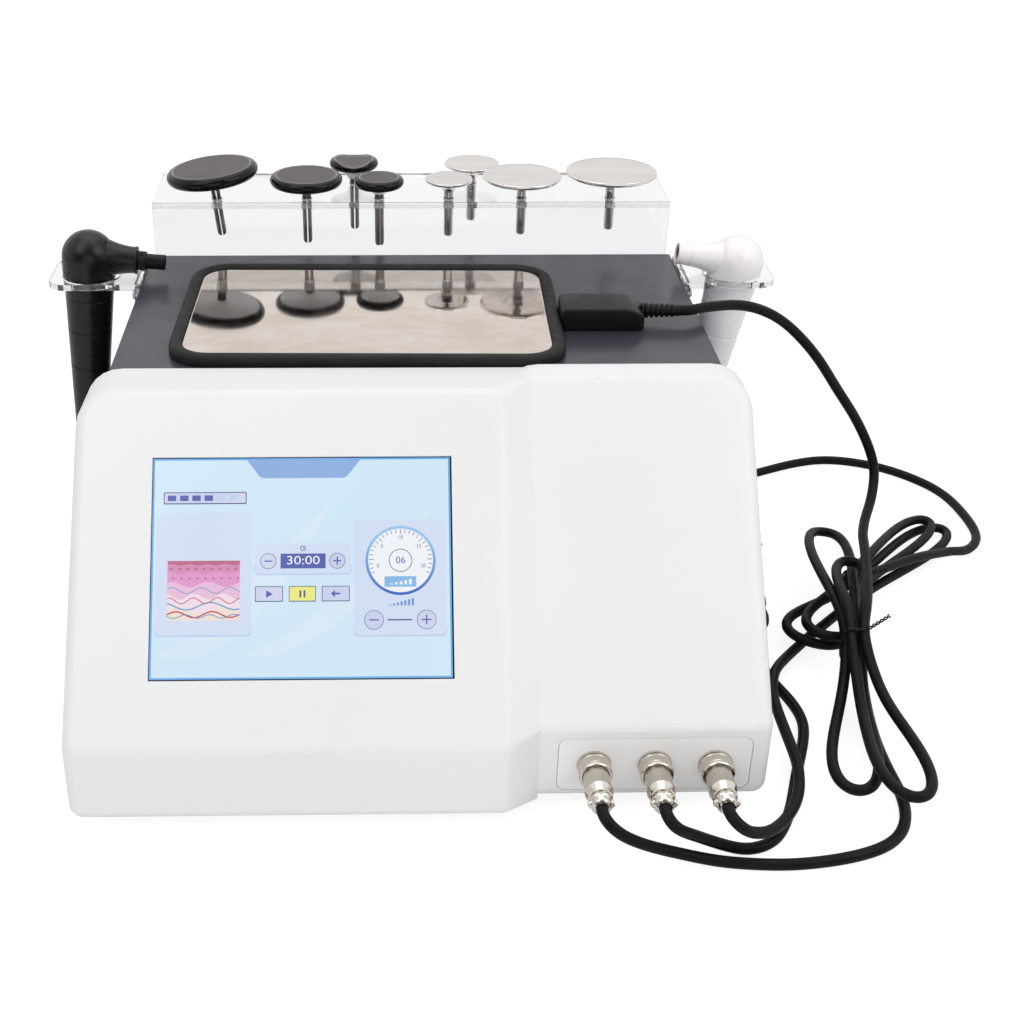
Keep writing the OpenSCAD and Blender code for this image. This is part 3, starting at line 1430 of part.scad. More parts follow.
// Band round the waist of a hank, across the direction of its loops
module tie(at, along, layers, lift, wider = 0, higher = 0) {
    w = 2 * (neck_half + cord_r + tie_gap + wider);
    h = cord_d + layers * layer_h + 2 * (tie_gap + higher) + tie_w * 0.5;
    translate([at.x, at.y, bed_z - cord_r + lift + (layers * layer_h + cord_d) / 2])
        rotate(atan2(along.y, along.x)) rotate([90, 0, 90]) translate([0, 0, -tie_w / 2])
            linear_extrude(tie_w) difference() {
                square([w + 2 * tie_t, h + 2 * tie_t], center = true);
                square([w, h], center = true);
            }
}
module cord_ties() color([0.2, 0.2, 0.2]) {
    tie(plate_waist, plate_along, 2, over_black(plate_waist), 1.6, 1.6);
    tie(black_waist, black_along, 2, 0, 1.2);
    tie(white_waist, white_along, 3, 0, 0.7, 0.7);
}

placed() front_shell();
placed() socket_panel();
placed() base_pan();
placed() top_cover();
placed() rear_panel();
placed() touch_glass();
placed() lcd_panel();
placed() control_board();
placed() power_supply();
placed() rf_board();
placed() rf_heatsink();
placed() output_transformer();
placed() fan_frame();
placed() fan_rotor();
placed() fan_guard();
placed() mains_inlet();
placed() fuse_drawer();
placed() power_rocker();
placed() feet();
placed() foot_screws();
placed() m3_screws();
placed() electrode_rack();
placed() holder(-1);  // holder_left
placed() holder(1);  // holder_right
placed() coated_disc_large();
placed() coated_disc_medium();
placed() coated_disc_small();
placed() coated_disc_saddle();
placed() steel_disc_large();
placed() steel_disc_medium();
placed() steel_disc_small();
placed() steel_disc_rear();
placed() black_handle_body();
placed() black_handle_head();
placed() black_handle_socket();
placed() white_handle_body();
placed() white_handle_head();
placed() white_handle_socket();
placed() plate_rim();
placed() return_plate();
placed() plate_plug();
placed() socket(0);  // socket_1
placed() socket(1);  // socket_2
placed() socket(2);  // socket_3
placed() coupling_ring(0);  // coupling_ring_1
placed() coupling_ring(1);  // coupling_ring_2
placed() coupling_ring(2);  // coupling_ring_3
placed() cable_plug(0);  // cable_plug_1
placed() cable_plug(1);  // cable_plug_2
placed() cable_plug(2);  // cable_plug_3
placed() plate_cord_front();
placed() plate_hank();
placed() plate_cord_rear();
placed() white_cord_front();
placed() white_hank();
placed() white_cord_rear();
placed() black_cord_front();
placed() black_hank();
placed() black_cord_rear();
placed() cord_ties();
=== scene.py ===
import math

import bmesh
import bpy
from mathutils import Matrix, Vector

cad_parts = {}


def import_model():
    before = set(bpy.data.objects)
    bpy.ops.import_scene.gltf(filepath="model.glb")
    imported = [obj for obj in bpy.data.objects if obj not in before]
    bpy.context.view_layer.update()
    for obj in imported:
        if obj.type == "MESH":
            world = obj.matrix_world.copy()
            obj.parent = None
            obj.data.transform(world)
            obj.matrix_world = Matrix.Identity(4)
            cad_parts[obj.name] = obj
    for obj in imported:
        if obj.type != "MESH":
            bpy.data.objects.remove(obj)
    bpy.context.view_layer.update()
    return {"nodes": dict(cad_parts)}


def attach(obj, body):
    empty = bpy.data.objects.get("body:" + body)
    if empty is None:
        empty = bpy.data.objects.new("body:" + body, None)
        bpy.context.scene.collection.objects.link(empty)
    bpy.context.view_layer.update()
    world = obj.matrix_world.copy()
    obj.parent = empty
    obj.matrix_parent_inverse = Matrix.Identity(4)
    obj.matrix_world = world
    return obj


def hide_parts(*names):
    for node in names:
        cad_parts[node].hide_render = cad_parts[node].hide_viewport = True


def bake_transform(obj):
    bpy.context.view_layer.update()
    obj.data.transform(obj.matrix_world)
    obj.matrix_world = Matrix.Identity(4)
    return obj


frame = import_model()

MM = 0.001
HALF_DEPTH = 207.5
NODES = frame["nodes"]


def mm(x, y, z):
    """Frame point in metres from machine millimetres, whose y counts from the screen's front."""
    return Vector((x * MM, (y - HALF_DEPTH) * MM, z * MM))


def turned(degrees, axis):
    return Matrix.Rotation(math.radians(degrees), 4, axis)


def link(obj):
    bpy.context.scene.collection.objects.link(obj)
    return obj


# Camera

CAMERA_AT = (-0.0177, -0.8354, 0.5531)
PITCH, YAW, ROLL = 31.05, 1.244, 0.247
LENS, SENSOR, SHIFT = 53.3, 36, (0.0942, 0.0421)


def camera():
    data = bpy.data.cameras.new("camera")
    data.lens, data.sensor_width, data.clip_start = LENS, SENSOR, 0.01
    data.shift_x, data.shift_y = SHIFT
    obj = link(bpy.data.objects.new("camera", data))
    turn = turned(-YAW, "Z") @ turned(90 - PITCH, "X") @ turned(ROLL, "Z")
    obj.matrix_world = Matrix.Translation(CAMERA_AT) @ turn
    bpy.context.scene.camera = obj


camera()


# Materials

def feed(tree, node, inputs):
    """Links a node's inputs from sockets, or sets them to values."""
    for key, value in inputs.items():
        socket = node.inputs[key.replace("_", " ") if isinstance(key, str) else key]
        if hasattr(value, "is_output"):
            tree.links.new(value, socket)
        else:
            socket.default_value = value
    return node


def add_node(tree, kind, **inputs):
    return feed(tree, tree.nodes.new("ShaderNode" + kind), inputs)


def calc(tree, operation, *values, kind="Math", out=0):
    """An output of a Math or VectorMath node that takes the values in their order."""
    node = tree.nodes.new("ShaderNode" + kind)
    node.operation = operation
    return feed(tree, node, dict(enumerate(values))).outputs[out]


class Mat:
    """A material under construction: a Principled shader and the nodes that feed it."""

    def __init__(self, name, color, rough, metal=0.0, **sockets):
        self.m = bpy.data.materials.new(name)
        self.m.use_nodes = True
        self.tree = self.m.node_tree
        self.p = self.tree.nodes["Principled BSDF"]
        self.set(Base_Color=(*color, 1), Roughness=rough, Metallic=metal, **sockets)
        self.coords = self.add("TexCoord").outputs["Object"]
        self.height = None

    def set(self, **sockets):
        feed(self.tree, self.p, sockets)

    def add(self, kind, **inputs):
        return add_node(self.tree, kind, **inputs)

    def noise(self, scale, detail, rough=0.5, stretch=(1, 1, 1), distortion=0.0):
        mapping = self.add("Mapping", Vector=self.coords, Scale=stretch)
        return self.add("TexNoise", Vector=mapping.outputs[0], Scale=scale, Detail=detail,
                        Roughness=rough, Distortion=distortion).outputs["Fac"]

    def stripes(self, scale):
        """Fine bands across X."""
        return self.add("TexWave", Vector=self.coords, Scale=scale).outputs["Fac"]

    def pattern(self, fac):
        """A pattern's own socket, or the noise that its numbers describe."""
        return self.noise(*fac) if isinstance(fac, tuple) else fac

    def ramp(self, fac, stops):
        n = self.add("ValToRGB", Fac=fac)
        for element, (at, color) in zip(n.color_ramp.elements, stops):
            element.position = at
            element.color = (*color, 1)
        return n.outputs["Color"]

    def mottle(self, fac, low, high, a=0.35, b=0.65):
        """Colour that wanders between two tones."""
        self.set(Base_Color=self.ramp(self.pattern(fac), [(a, low), (b, high)]))

    def gloss(self, fac, low, high, a=0.3, b=0.7):
        """Roughness that wanders between two values."""
        self.set(Roughness=self.add("MapRange", Value=self.pattern(fac), From_Min=a, From_Max=b,
                                    To_Min=low, To_Max=high).outputs[0])

    def bump(self, fac, depth, strength):
        """Relief of the given depth in metres, over the relief before it."""
        n = self.add("Bump", Height=self.pattern(fac), Distance=depth, Strength=strength)
        if self.height is not None:
            feed(self.tree, n, {"Normal": self.height})
        self.height = n.outputs[0]
        self.set(Normal=self.height)


def finish(name, color, rough, tint, gloss=None, relief=(), metal=0.0, **sockets):
    """A material from its tint, gloss and relief, each a pattern with its range."""
    m = Mat(name, color, rough, metal, **sockets)
    m.mottle(*tint)
    if gloss:
        m.gloss(*gloss)
    for bump in relief:
        m.bump(*bump)
    return m.m


def shaded(color, share):
    return tuple(c * share for c in color)


def white_plastic(name, color):
    return finish(name, color, 0.38, ((9, 2), shaded(color, 0.985), color), ((60, 4), 0.33, 0.44),
                  [((1500, 2), 0.00002, 0.6), ((14, 1), 0.0004, 0.25)],
                  Specular_IOR_Level=0.45, Coat_Weight=0.15, Coat_Roughness=0.25)


def black_plastic(name, color=(0.006, 0.006, 0.0065), low=0.3, high=0.42, grain=0.00002):
    return finish(name, color, 0.35, ((40, 3), color, shaded(color, 1.35)),
                  ((180, 4), low, high), [((2400, 2), grain, 0.7)], Specular_IOR_Level=0.17)


def metal(name, color, low, high, scale=300, depth=0.000012):
    return finish(name, color, low, ((35, 4), shaded(color, 0.94), color),
                  ((90, 4), low, high), [((scale, 3), depth, 0.5)], metal=1.0)


SHELF_TOP, RACK_T = 236, 5
FRONT_ROW_Y, REAR_ROW_Y = 361, 394
HOLES = {
    "coated_disc_large": (-129.3, FRONT_ROW_Y), "coated_disc_medium": (-69.7, FRONT_ROW_Y),
    "coated_disc_small": (-21.5, FRONT_ROW_Y), "coated_disc_saddle": (-38.6, REAR_ROW_Y),
    "steel_disc_large": (132.5, FRONT_ROW_Y), "steel_disc_medium": (73.4, FRONT_ROW_Y),
    "steel_disc_small": (24.7, FRONT_ROW_Y), "steel_disc_rear": (41.6, REAR_ROW_Y),
}
# The holes' radius, and where their whitish wall, partly a painted highlight, fades out
HOLE_R, FROST_AND_GLINT_R = 0.0034, 0.0037


def clear_plastic(name):
    """Clear sheet with a faint haze, and whitish walls in its drilled holes: frosted plastic whose
    white is partly a painted highlight for light refracted at the hole edges.
    """
    m = Mat(name, (0.86, 0.866, 0.876), 0.02, IOR=1.49, Transmission_Weight=1.0)
    m.gloss((50, 3), 0.0, 0.04)
    m.bump((25, 2), 0.00008, 0.06)
    flat = calc(m.tree, "MULTIPLY", m.coords, (1, 1, 0), kind="VectorMath")
    nearest = None
    for x, y in HOLES.values():
        span = calc(m.tree, "DISTANCE", flat, mm(x, y, 0), kind="VectorMath", out="Value")
        nearest = span if nearest is None else calc(m.tree, "MINIMUM", nearest, span)
    # White on the hole walls: partly frost, partly a painted highlight for glints of refracted
    # light
    wall = m.add("MapRange", Value=nearest, From_Min=FROST_AND_GLINT_R, From_Max=HOLE_R, To_Min=0.03,
                 To_Max=0.75)
    frost_and_glint = m.add("BsdfDiffuse", Color=(0.9, 0.91, 0.92, 1))
    mix = feed(m.tree, m.add("MixShader"), {0: wall.outputs[0], 1: m.p.outputs[0],
                                           2: frost_and_glint.outputs[0]})
    feed(m.tree, m.tree.nodes["Material Output"], {0: mix.outputs[0]})
    return m.m


def winding():
    m = Mat("copper_winding", (0.5, 0.2, 0.06), 0.35, 0.6)
    m.mottle(m.stripes(600), (0.35, 0.13, 0.04), (0.6, 0.27, 0.09))
    m.bump(m.stripes(600), 0.0003, 0.6)
    return m.m


MATS = {
    "white": white_plastic("moulded_white", (0.845, 0.845, 0.85)),
    "panel_white": white_plastic("panel_white", (0.895, 0.89, 0.88)),
    "sheet_dark": finish(
        "painted_sheet", (0.038, 0.039, 0.053), 0.32,
        ((7, 3), (0.034, 0.035, 0.048), (0.042, 0.043, 0.058)), ((45, 5), 0.28, 0.4),
        [((900, 3), 0.00003, 0.5), ((6, 2), 0.0008, 0.12)],
        Specular_IOR_Level=0.32, Coat_Weight=0.18, Coat_Roughness=0.14),
    "zinc": metal("zinc_plated", (0.62, 0.63, 0.65), 0.28, 0.5, 500),
    "nickel": metal("nickel_plated", (0.66, 0.61, 0.55), 0.08, 0.16, 900),
    "steel": metal("polished_steel", (0.80, 0.77, 0.75), 0.05, 0.14, 700),
    "steel_face": finish(
        "satin_steel", (0.68, 0.645, 0.625), 0.24,
        ((16, 3, 0.5, (1, 3, 1)), (0.64, 0.605, 0.585), (0.70, 0.667, 0.648)),
        ((40, 3, 0.5, (1, 4, 1)), 0.2, 0.27),
        [((900, 2, 0.5, (0.15, 1, 1)), 0.000003, 0.4)], metal=1.0),
    "plate_steel": finish(
        "plate_steel", (0.67, 0.59, 0.535), 0.08,
        ((22, 5, 0.65, (1, 1.6, 1)), (0.60, 0.52, 0.455), (0.69, 0.615, 0.57), 0.38, 0.6),
        ((30, 5, 0.65), 0.03, 0.09), [((500, 3, 0.5, (0.08, 1, 1)), 0.000002, 0.3)], metal=1.0),
    "rim_rubber": black_plastic("rim_rubber", (0.015, 0.015, 0.0155), 0.5, 0.62, 0.00004),
    "satin_nickel": finish(
        "satin_nickel", (0.62, 0.57, 0.5), 0.24, ((35, 3), (0.58, 0.53, 0.46), (0.63, 0.58, 0.51)),
        ((60, 3), 0.2, 0.28), [((1400, 2, 0.5, (1, 0.03, 1)), 0.00008, 0.6)], metal=1.0),
    "bright_nickel": metal("bright_nickel", (0.74, 0.69, 0.62), 0.03, 0.07, 900),
    "pin_dark": metal("pin_dark", (0.14, 0.115, 0.095), 0.16, 0.24, 2500, 0.000002),
    "pin_steel": metal("pin_steel", (0.5, 0.48, 0.46), 0.1, 0.2, 2500, 0.000002),
    "brass": metal("dark_brass", (0.30, 0.17, 0.09), 0.25, 0.45),
    "coating": finish(
        "coated_disc", (0.004, 0.0034, 0.003), 0.1,
        ((90, 3), (0.003, 0.0026, 0.0024), (0.006, 0.005, 0.0045)), ((60, 3), 0.07, 0.12),
        [((1200, 2), 0.00001, 0.5)], Specular_IOR_Level=0.22),
    # Pale underside: its own light tone, made paler still as painted light that makes up for the
    # shade under the disc
    "coating_under": finish(
        "coated_under", (0.84, 0.9, 0.94), 0.4, ((60, 2), (0.80, 0.86, 0.90), (0.86, 0.92, 0.96)),
        relief=[((1500, 2), 0.00002, 0.5)], Specular_IOR_Level=0.5),
    "coating_face": finish(
        "coated_face", (0.07, 0.06, 0.056), 0.45,
        ((60, 2), (0.066, 0.057, 0.053), (0.075, 0.064, 0.06)), ((70, 2), 0.44, 0.48),
        [((1500, 2), 0.00002, 0.5)], Specular_IOR_Level=0.36),
    # The lip's lighter colour is a painted highlight along the coated disc's rim
    "lip_painted_highlight": finish(
        "coated_lip_painted_highlight", (0.2, 0.19, 0.185), 0.25,
        ((300, 2), (0.15, 0.142, 0.138), (0.24, 0.23, 0.222)), ((90, 2), 0.2, 0.3),
        Specular_IOR_Level=0.6),
    "black": black_plastic("black_plastic"),
    "black_gloss": black_plastic("black_gloss_plastic", low=0.2, high=0.3),
    "plug_black": black_plastic("plug_black", (0.007, 0.0067, 0.0065), 0.34, 0.46, 0.00004),
    "rubber": black_plastic("black_rubber", (0.010, 0.010, 0.011), 0.42, 0.6, 0.00005),
    "handle_black": finish(
        "handle_black", (0.005, 0.005, 0.0055), 0.28,
        ((40, 3), (0.0045, 0.0045, 0.005), (0.006, 0.006, 0.0065)), ((120, 4), 0.25, 0.32),
        [((2400, 2), 0.00001, 0.6)], Specular_IOR_Level=0.34),
    "white_handle": finish(
        "white_handle", (0.96, 0.925, 0.955), 0.3,
        ((14, 2), (0.95, 0.915, 0.945), (0.97, 0.94, 0.97)), ((80, 4), 0.26, 0.38),
        [((1600, 2), 0.00002, 0.5)],
        Specular_IOR_Level=0.6, Coat_Weight=0.5, Coat_Roughness=0.2),
    "cord": finish(
        "cord_sheath", (0.005, 0.005, 0.0052), 0.4,
        ((60, 3), (0.0045, 0.0045, 0.0047), (0.0075, 0.0075, 0.008)), ((220, 4), 0.34, 0.5),
        [((420, 3), 0.00006, 0.6)], Specular_IOR_Level=0.12),
    "board": finish(
        "circuit_board", (0.02, 0.16, 0.07), 0.35,
        ((300, 5), (0.012, 0.11, 0.05), (0.03, 0.2, 0.09), 0.48, 0.52),
        relief=[((400, 2), 0.00008, 0.5)]),
    "clear": clear_plastic("clear_sheet"),
    "copper": winding(),
}

# The solids that stay in sight; the pieces further down stand for the others
BY_MATERIAL = {
    "white": ["front_shell"],
    "panel_white": ["socket_panel"],
    "sheet_dark": ["top_cover", "rear_panel"],
    "zinc": ["base_pan", "lcd_panel", "power_supply", "fan_guard", "foot_screws", "m3_screws",
             "rf_heatsink"],
    "board": ["control_board", "rf_board"],
    "copper": ["output_transformer"],
    "black": ["fan_frame", "fan_rotor", "mains_inlet", "fuse_drawer", "power_rocker",
              "touch_glass"],
    "rubber": ["feet"],
    "clear": ["electrode_rack", "holder_left", "holder_right"],
    "nickel": ["socket_1", "socket_2", "socket_3"],
}
for key, names in BY_MATERIAL.items():
    for name in names:
        worn = NODES[name].data.materials
        worn.clear()
        worn.append(MATS[key])


# Cords, along the same points as the solids

CORD_R = 3.25
TIE_T, TIE_W, TIE_GAP = 1.2, 2.5, 0.3
BED_Z = CORD_R + TIE_T + TIE_GAP + TIE_W / 4
LAYER = 2 * CORD_R + 1.8
NECK = CORD_R + 0.6
LOBE_RINGS = 12


def ease(t):
    c = min(max(t, 0.0), 1.0)
    return c * c * (3 - 2 * c)


def spline(points, steps):
    p = [Vector(q) for q in points]
    made = []
    for i in range(len(p) - 1):
        a, b, c, d = p[max(i - 1, 0)], p[i], p[i + 1], p[min(i + 2, len(p) - 1)]
        for s in range(steps):
            t = s / steps
            q = 0.5 * (2 * b + (c - a) * t + (2 * a - 5 * b + 4 * c - d) * t * t
                       + (3 * b - a - 3 * c + d) * t ** 3)
            made.append(Vector((q.x, q.y, max(q.z, CORD_R))))
    return made + [p[-1]]


def climbed(t):
    """A count that rises by one within the second half of each step."""
    return math.floor(t) + ease((t - math.floor(t) - 0.5) / 0.2 + 1)


def relaxed(path, rounds):
    """The same line with its kinks eased, its ends kept."""
    p = list(path)
    for _ in range(rounds):
        p = p[:2] + [(a + 2 * b + c) / 4 for a, b, c in zip(p[1:], p[2:-2], p[3:])] + p[-2:]
    return p


def hank_path(waist, tips, bellies):
    """Lobes that leave the waist for each tip in turn and come back a layer higher."""
    waist = Vector(waist)
    made = []
    for j, tip in enumerate(tips):
        v = Vector(tip) - waist
        e = v.normalized()
        n = Vector((e.y, -e.x))
        for k in range(LOBE_RINGS):
            u = k / LOBE_RINGS
            p = u - 0.07 * math.sin(math.tau * u)
            s, c = math.sin(math.pi * p), math.cos(math.pi * p)
            q = waist + v * s + n * (NECK * c
                                     + 1.3 * bellies[j] * s * math.sin(math.tau * p))
            made.append(Vector((q.x, q.y, BED_Z + LAYER * climbed((j + p) / 2))))
    return relaxed(made, 1)


# Each hank's waist, and the way along it there
PLATE_WAIST, PLATE_ALONG = (266, 128), (0.2, 0.98)
BLACK_WAIST, BLACK_ALONG = (292, 222), (0.676, 0.737)
WHITE_WAIST, WHITE_ALONG = (212, 228), (0.08, 1)
PLATE_LIFT = 25


def over_black(p):
    """How high the plate's hank lies where it crosses the black handle's."""
    s = (Vector(p[:2]) - Vector(PLATE_WAIST)).dot(Vector(PLATE_ALONG))
    return PLATE_LIFT * (ease((s + 50) / 78) - ease((s - 132) / 60))


def whole(front, lead, hank, out, rear):
    """A cord's whole centreline, from its plug through its hank to its far end."""
    coil = [Vector(q) for q in lead] + hank + [Vector(q) for q in out]
    return spline(front, 6) + spline(coil, 3)[1:] + spline(rear, 6)[1:]


PLUG_END_Y, PLUG_OUT_Y = -20.65, -27.15
SOCKET_XS, SOCKET_Z = (93.5, 126.5, 159.5), 32
RELIEF_END = (159.581, 229.733, 208)
RELIEF_WAY = (166.08, 229.62, 208)
BLACK_BOOT = (-221.408, 309.5, 61.822)
BLACK_WAY = (-221.975, 309.5, 55.347)
WHITE_BOOT = (186.253, 309.5, 58.252)
WHITE_WAY = (185.236, 309.5, 51.832)


def plate_cord_path():
    hank = [p + Vector((0, 0, over_black(p))) for p in hank_path(
        PLATE_WAIST, [(284, 281), (238, 8), (286, 220), (267, -9)], [13, 13, 9, 14])]
    return whole(
        [(93.5, PLUG_END_Y, SOCKET_Z), (93.5, PLUG_OUT_Y, SOCKET_Z), (100, -33, 27),
         (114, -31, 17), (136, -29, 8), (162, -31, CORD_R), (193, -33, CORD_R),
         (226, -28, CORD_R), (250, -18, CORD_R), (263, -2, CORD_R), (268, 20, CORD_R),
         (267, 46, CORD_R), (267, 66, CORD_R + 0.3), (267.2, 74, CORD_R + 1)],
        [(267.2, 74, CORD_R + 1), (267.4, 80.5, 5), (268, 97, 9), (269, 112, 15)], hank,
        [(270, 130, 41.5), (276, 146, 46), (283, 170, 48), (290, 200, 49), (294, 222, 51)],
        [(294, 222, 51), (295.2, 228.5, 51.6), (301, 245, 54), (309, 262, 61),
         (312, 277, 78), (299, 283, 105), (279, 277, 133), (258, 270, 162), (232, 262, 188),
         (206, 252, 202), (180, 238, 207), RELIEF_WAY, RELIEF_END])


def black_cord_path():
    hank = hank_path(BLACK_WAIST, [(388, 318), (245, 156), (374, 316), (254, 150)],
                     [11, 22, 9, 17])
    low = CORD_R
    return whole(
        [(159.5, PLUG_END_Y, SOCKET_Z), (159.5, PLUG_OUT_Y, SOCKET_Z), (165, -32, 28),
         (173, -28, 21), (186, -18, 14), (199, -2, 11.4), (208, 16, 11.4), (213, 40, 11.4),
         (213, 68, 11.4), (213, 96, 11.4), (215, 114, 11.4), (221, 132, 10.8), (233, 152, 6.5),
         (246, 168, BED_Z), (251, 174, BED_Z)],
        [(251, 174, BED_Z), (255.6, 178.6, BED_Z), (274, 198, BED_Z)], hank,
        [(296, 220.5, 22.6), (312, 230, 22), (331, 244, 20), (352, 259, 16),
         (372, 273, 10)],
        [(372, 273, 10), (377.5, 276.5, 8.8), (394, 287, low), (406, 304, low), (408, 334, low),
         (400, 376, low), (370, 411, low), (332, 426, low), (300, 420, low), (262, 402, low),
         (215, 384, low), (160, 374, low), (80, 372, low), (0, 372, low), (-80, 372, low),
         (-150, 370, low), (-190, 360, low), (-213, 340, 8), (-222, 322, 20), (-224, 311, 38),
         BLACK_WAY, BLACK_BOOT])


def white_cord_path():
    hank = hank_path(WHITE_WAIST, [(224, 346), (205, 160), (220, 352), (208, 156), (222, 340),
                                   (206, 164)], [25, 13, 25, 13, 25, 13])
    return whole(
        [(126.5, PLUG_END_Y, SOCKET_Z), (126.5, PLUG_OUT_Y, SOCKET_Z), (131, -32, 28),
         (142, -27, 19), (158, -23, 9), (174, -21, CORD_R), (189, -14, CORD_R),
         (202, 8, CORD_R), (214, 42, CORD_R), (225, 72, CORD_R), (229, 92, CORD_R),
         (226, 112, CORD_R), (220, 130, CORD_R), (217, 148, CORD_R + 0.5), (216, 164, BED_Z)],
        [(216, 164, BED_Z), (216, 170.5, BED_Z), (216, 200, BED_Z)], hank,
        [(216, 232, BED_Z + 3 * LAYER), (214, 250, 37), (207, 272, 40), (198, 291, 39)],
        [(198, 291, 39), (195, 296, 38.6), (188, 305, 39), (184.4, 309, 45), WHITE_WAY,
         WHITE_BOOT])


def evaluated(obj):
    """The mesh of a curve or text object, which it takes away."""
    bpy.context.view_layer.update()
    mesh = bpy.data.meshes.new_from_object(
        obj.evaluated_get(bpy.context.evaluated_depsgraph_get()))
    bpy.data.objects.remove(obj)
    return mesh


def tube_mesh(name, points, radius, mat):
    """A round tube along a line of points, as a mesh."""
    data = bpy.data.curves.new(name, "CURVE")
    data.dimensions = "3D"
    data.bevel_depth, data.bevel_resolution, data.use_fill_caps = radius, 4, True
    line = data.splines.new("POLY")
    line.points.add(len(points) - 1)
    for slot, q in zip(line.points, points):
        slot.co = (*q, 1)
    line.use_smooth = True
    data.materials.append(mat)
    mesh = evaluated(link(bpy.data.objects.new(name, data)))
    return link(bpy.data.objects.new(name, mesh))


def evened(path, step):
    """The same line with its points an even step apart."""
    made, left = [path[0]], step
    for a, b in zip(path, path[1:]):
        span = (b - a).length
        while span > left:
            made.append(a + (b - a) * (left / span))
            a, span, left = made[-1], span - left, step
        left -= span
    return made + ([path[-1]] if left < step * 0.7 else [])


def make_cord(name, run, path):
    """Lays a cord, whose last part between two points follows what it leads to."""
    points = [mm(*q) for q in relaxed(evened(relaxed(path, 3), 2.0), 6)]
    obj = tube_mesh(name, points, CORD_R * MM, MATS["cord"])
    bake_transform(obj)
    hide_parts(run + "_cord_front", run + "_hank", run + "_cord_rear")


make_cord("plate_cord", "plate", plate_cord_path())
make_cord("white_handle_cord", "white", white_cord_path())
make_cord("black_handle_cord", "black", black_cord_path())


# Pieces built from turned, extruded and swept forms, in millimetres in their own frames

class Form:
    """A piece under construction: one mesh whose faces are marked with keys of MATS."""

    def __init__(self, name, place=None):
        self.name, self.bm, self.mats = name, bmesh.new(), []
        self.place = place or Matrix.Identity(4)

    def mark(self, faces, mat):
        if mat not in self.mats:
            self.mats.append(mat)
        for face in faces:
            face.material_index = self.mats.index(mat)
            face.smooth = True

    def bridge(self, rings, mat, caps=False):
        """Skins a run of rings of points; a ring of one point is a tip."""
        made = [[self.bm.verts.new(q) for q in ring] for ring in rings]
        faces = []
        for a, b in zip(made, made[1:]):
            n = max(len(a), len(b))
            for i in range(n):
                j = (i + 1) % n
                if len(a) == 1:
                    corners = [a[0], b[j], b[i]]
                elif len(b) == 1:
                    corners = [a[i], a[j], b[0]]
                else:
                    corners = [a[i], a[j], b[j], b[i]]
                faces.append(self.bm.faces.new(corners))
        if caps:
            faces += [self.bm.faces.new(made[0]), self.bm.faces.new(made[-1])]
        self.mark(faces, mat)
        return made

    def lathe(self, profile, mat, sides=72, turn=None, wave=None):
        """Turns (radius, height) points round Z; wave changes a radius by its angle."""
        turn = turn or Matrix.Identity(4)
        rings = []
        for r, z in profile:
            if r < 1e-6:
                rings.append([turn @ Vector((0, 0, z))])
                continue
            spans = [wave(i, r, z) if wave else r for i in range(sides)]
            rings.append([turn @ Vector((s * math.cos(math.tau * i / sides),
                                         s * math.sin(math.tau * i / sides), z))
                          for i, s in enumerate(spans)])
        return self.bridge(rings, mat)

    def prism(self, outline, z0, z1, mat, turn, soft=0.0):
        """Extrudes an outline, with eased edges at both ends if it is soft."""
        levels = [(z0, outline), (z1, outline)]
        if soft:
            small = shrunk(outline, soft)
            levels = [(z0, small), (z0 + soft, outline), (z1 - soft, outline), (z1, small)]
        self.bridge([[turn @ Vector((x, y, z)) for x, y in ring] for z, ring in levels], mat,
                    caps=True)

    def tube(self, points, r, mat, sides):
        rings, side = [], Vector((0.31, 0.2, 0.93))
        for i, q in enumerate(points):
            t = (points[min(i + 1, len(points) - 1)] - points[max(i - 1, 0)]).normalized()
            side = (side - t * side.dot(t)).normalized()
            up = t.cross(side)
            rings.append([q + r * (math.cos(math.tau * k / sides) * side
                                   + math.sin(math.tau * k / sides) * up) for k in range(sides)])
        self.bridge(rings, mat, caps=True)

    def make(self, body, slot, node, sharp):
        """Makes the object, which stands for a node and rides on its body."""
        bmesh.ops.remove_doubles(self.bm, verts=self.bm.verts, dist=1e-5)
        bmesh.ops.recalc_face_normals(self.bm, faces=self.bm.faces)
        mesh = bpy.data.meshes.new(self.name)
        self.bm.to_mesh(mesh)
        self.bm.free()
        mesh.transform(self.place)
        for mat in self.mats:
            mesh.materials.append(MATS[mat])
        mesh.set_sharp_from_angle(angle=math.radians(sharp))
        obj = link(bpy.data.objects.new(self.name, mesh))
        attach(obj, body)
        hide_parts(node)


def shrunk(outline, by):
    """An outline that turns left, drawn in by a distance along its corners' bisectors."""
    out, n = [], len(outline)
    for i in range(n):
        a, b, c = Vector(outline[i - 1]), Vector(outline[i]), Vector(outline[(i + 1) % n])
        u, v = (b - a).normalized(), (c - b).normalized()
        nu, nv = Vector((-u.y, u.x)), Vector((-v.y, v.x))
        m = nu + nv
        out.append(tuple(b + m * (by / max(0.3, m.dot(nu)))))
    return out


def shade_evenly(obj):
    even = obj.modifiers.new("even", "WEIGHTED_NORMAL")
    even.keep_sharp = True


def soften(obj, width):
    """Rounds the hard edges of a piece and lets its large faces stay flat in the light."""
    weld = obj.modifiers.new("weld", "WELD")
    weld.merge_threshold = 2e-6
    flat = obj.modifiers.new("flat", "DECIMATE")
    flat.decimate_type = "DISSOLVE"
    flat.angle_limit = math.radians(0.4)
    bevel = obj.modifiers.new("bevel", "BEVEL")
    bevel.width = width * MM
    bevel.segments = 2
    bevel.limit_method = "ANGLE"
    bevel.angle_limit = math.radians(32)
    bevel.use_clamp_overlap = True
    shade_evenly(obj)


def at(x, y, z):
    """Frame that stands at a place given in machine millimetres."""
    return Matrix.Translation(mm(x, y, z)) @ Matrix.Scale(MM, 4)


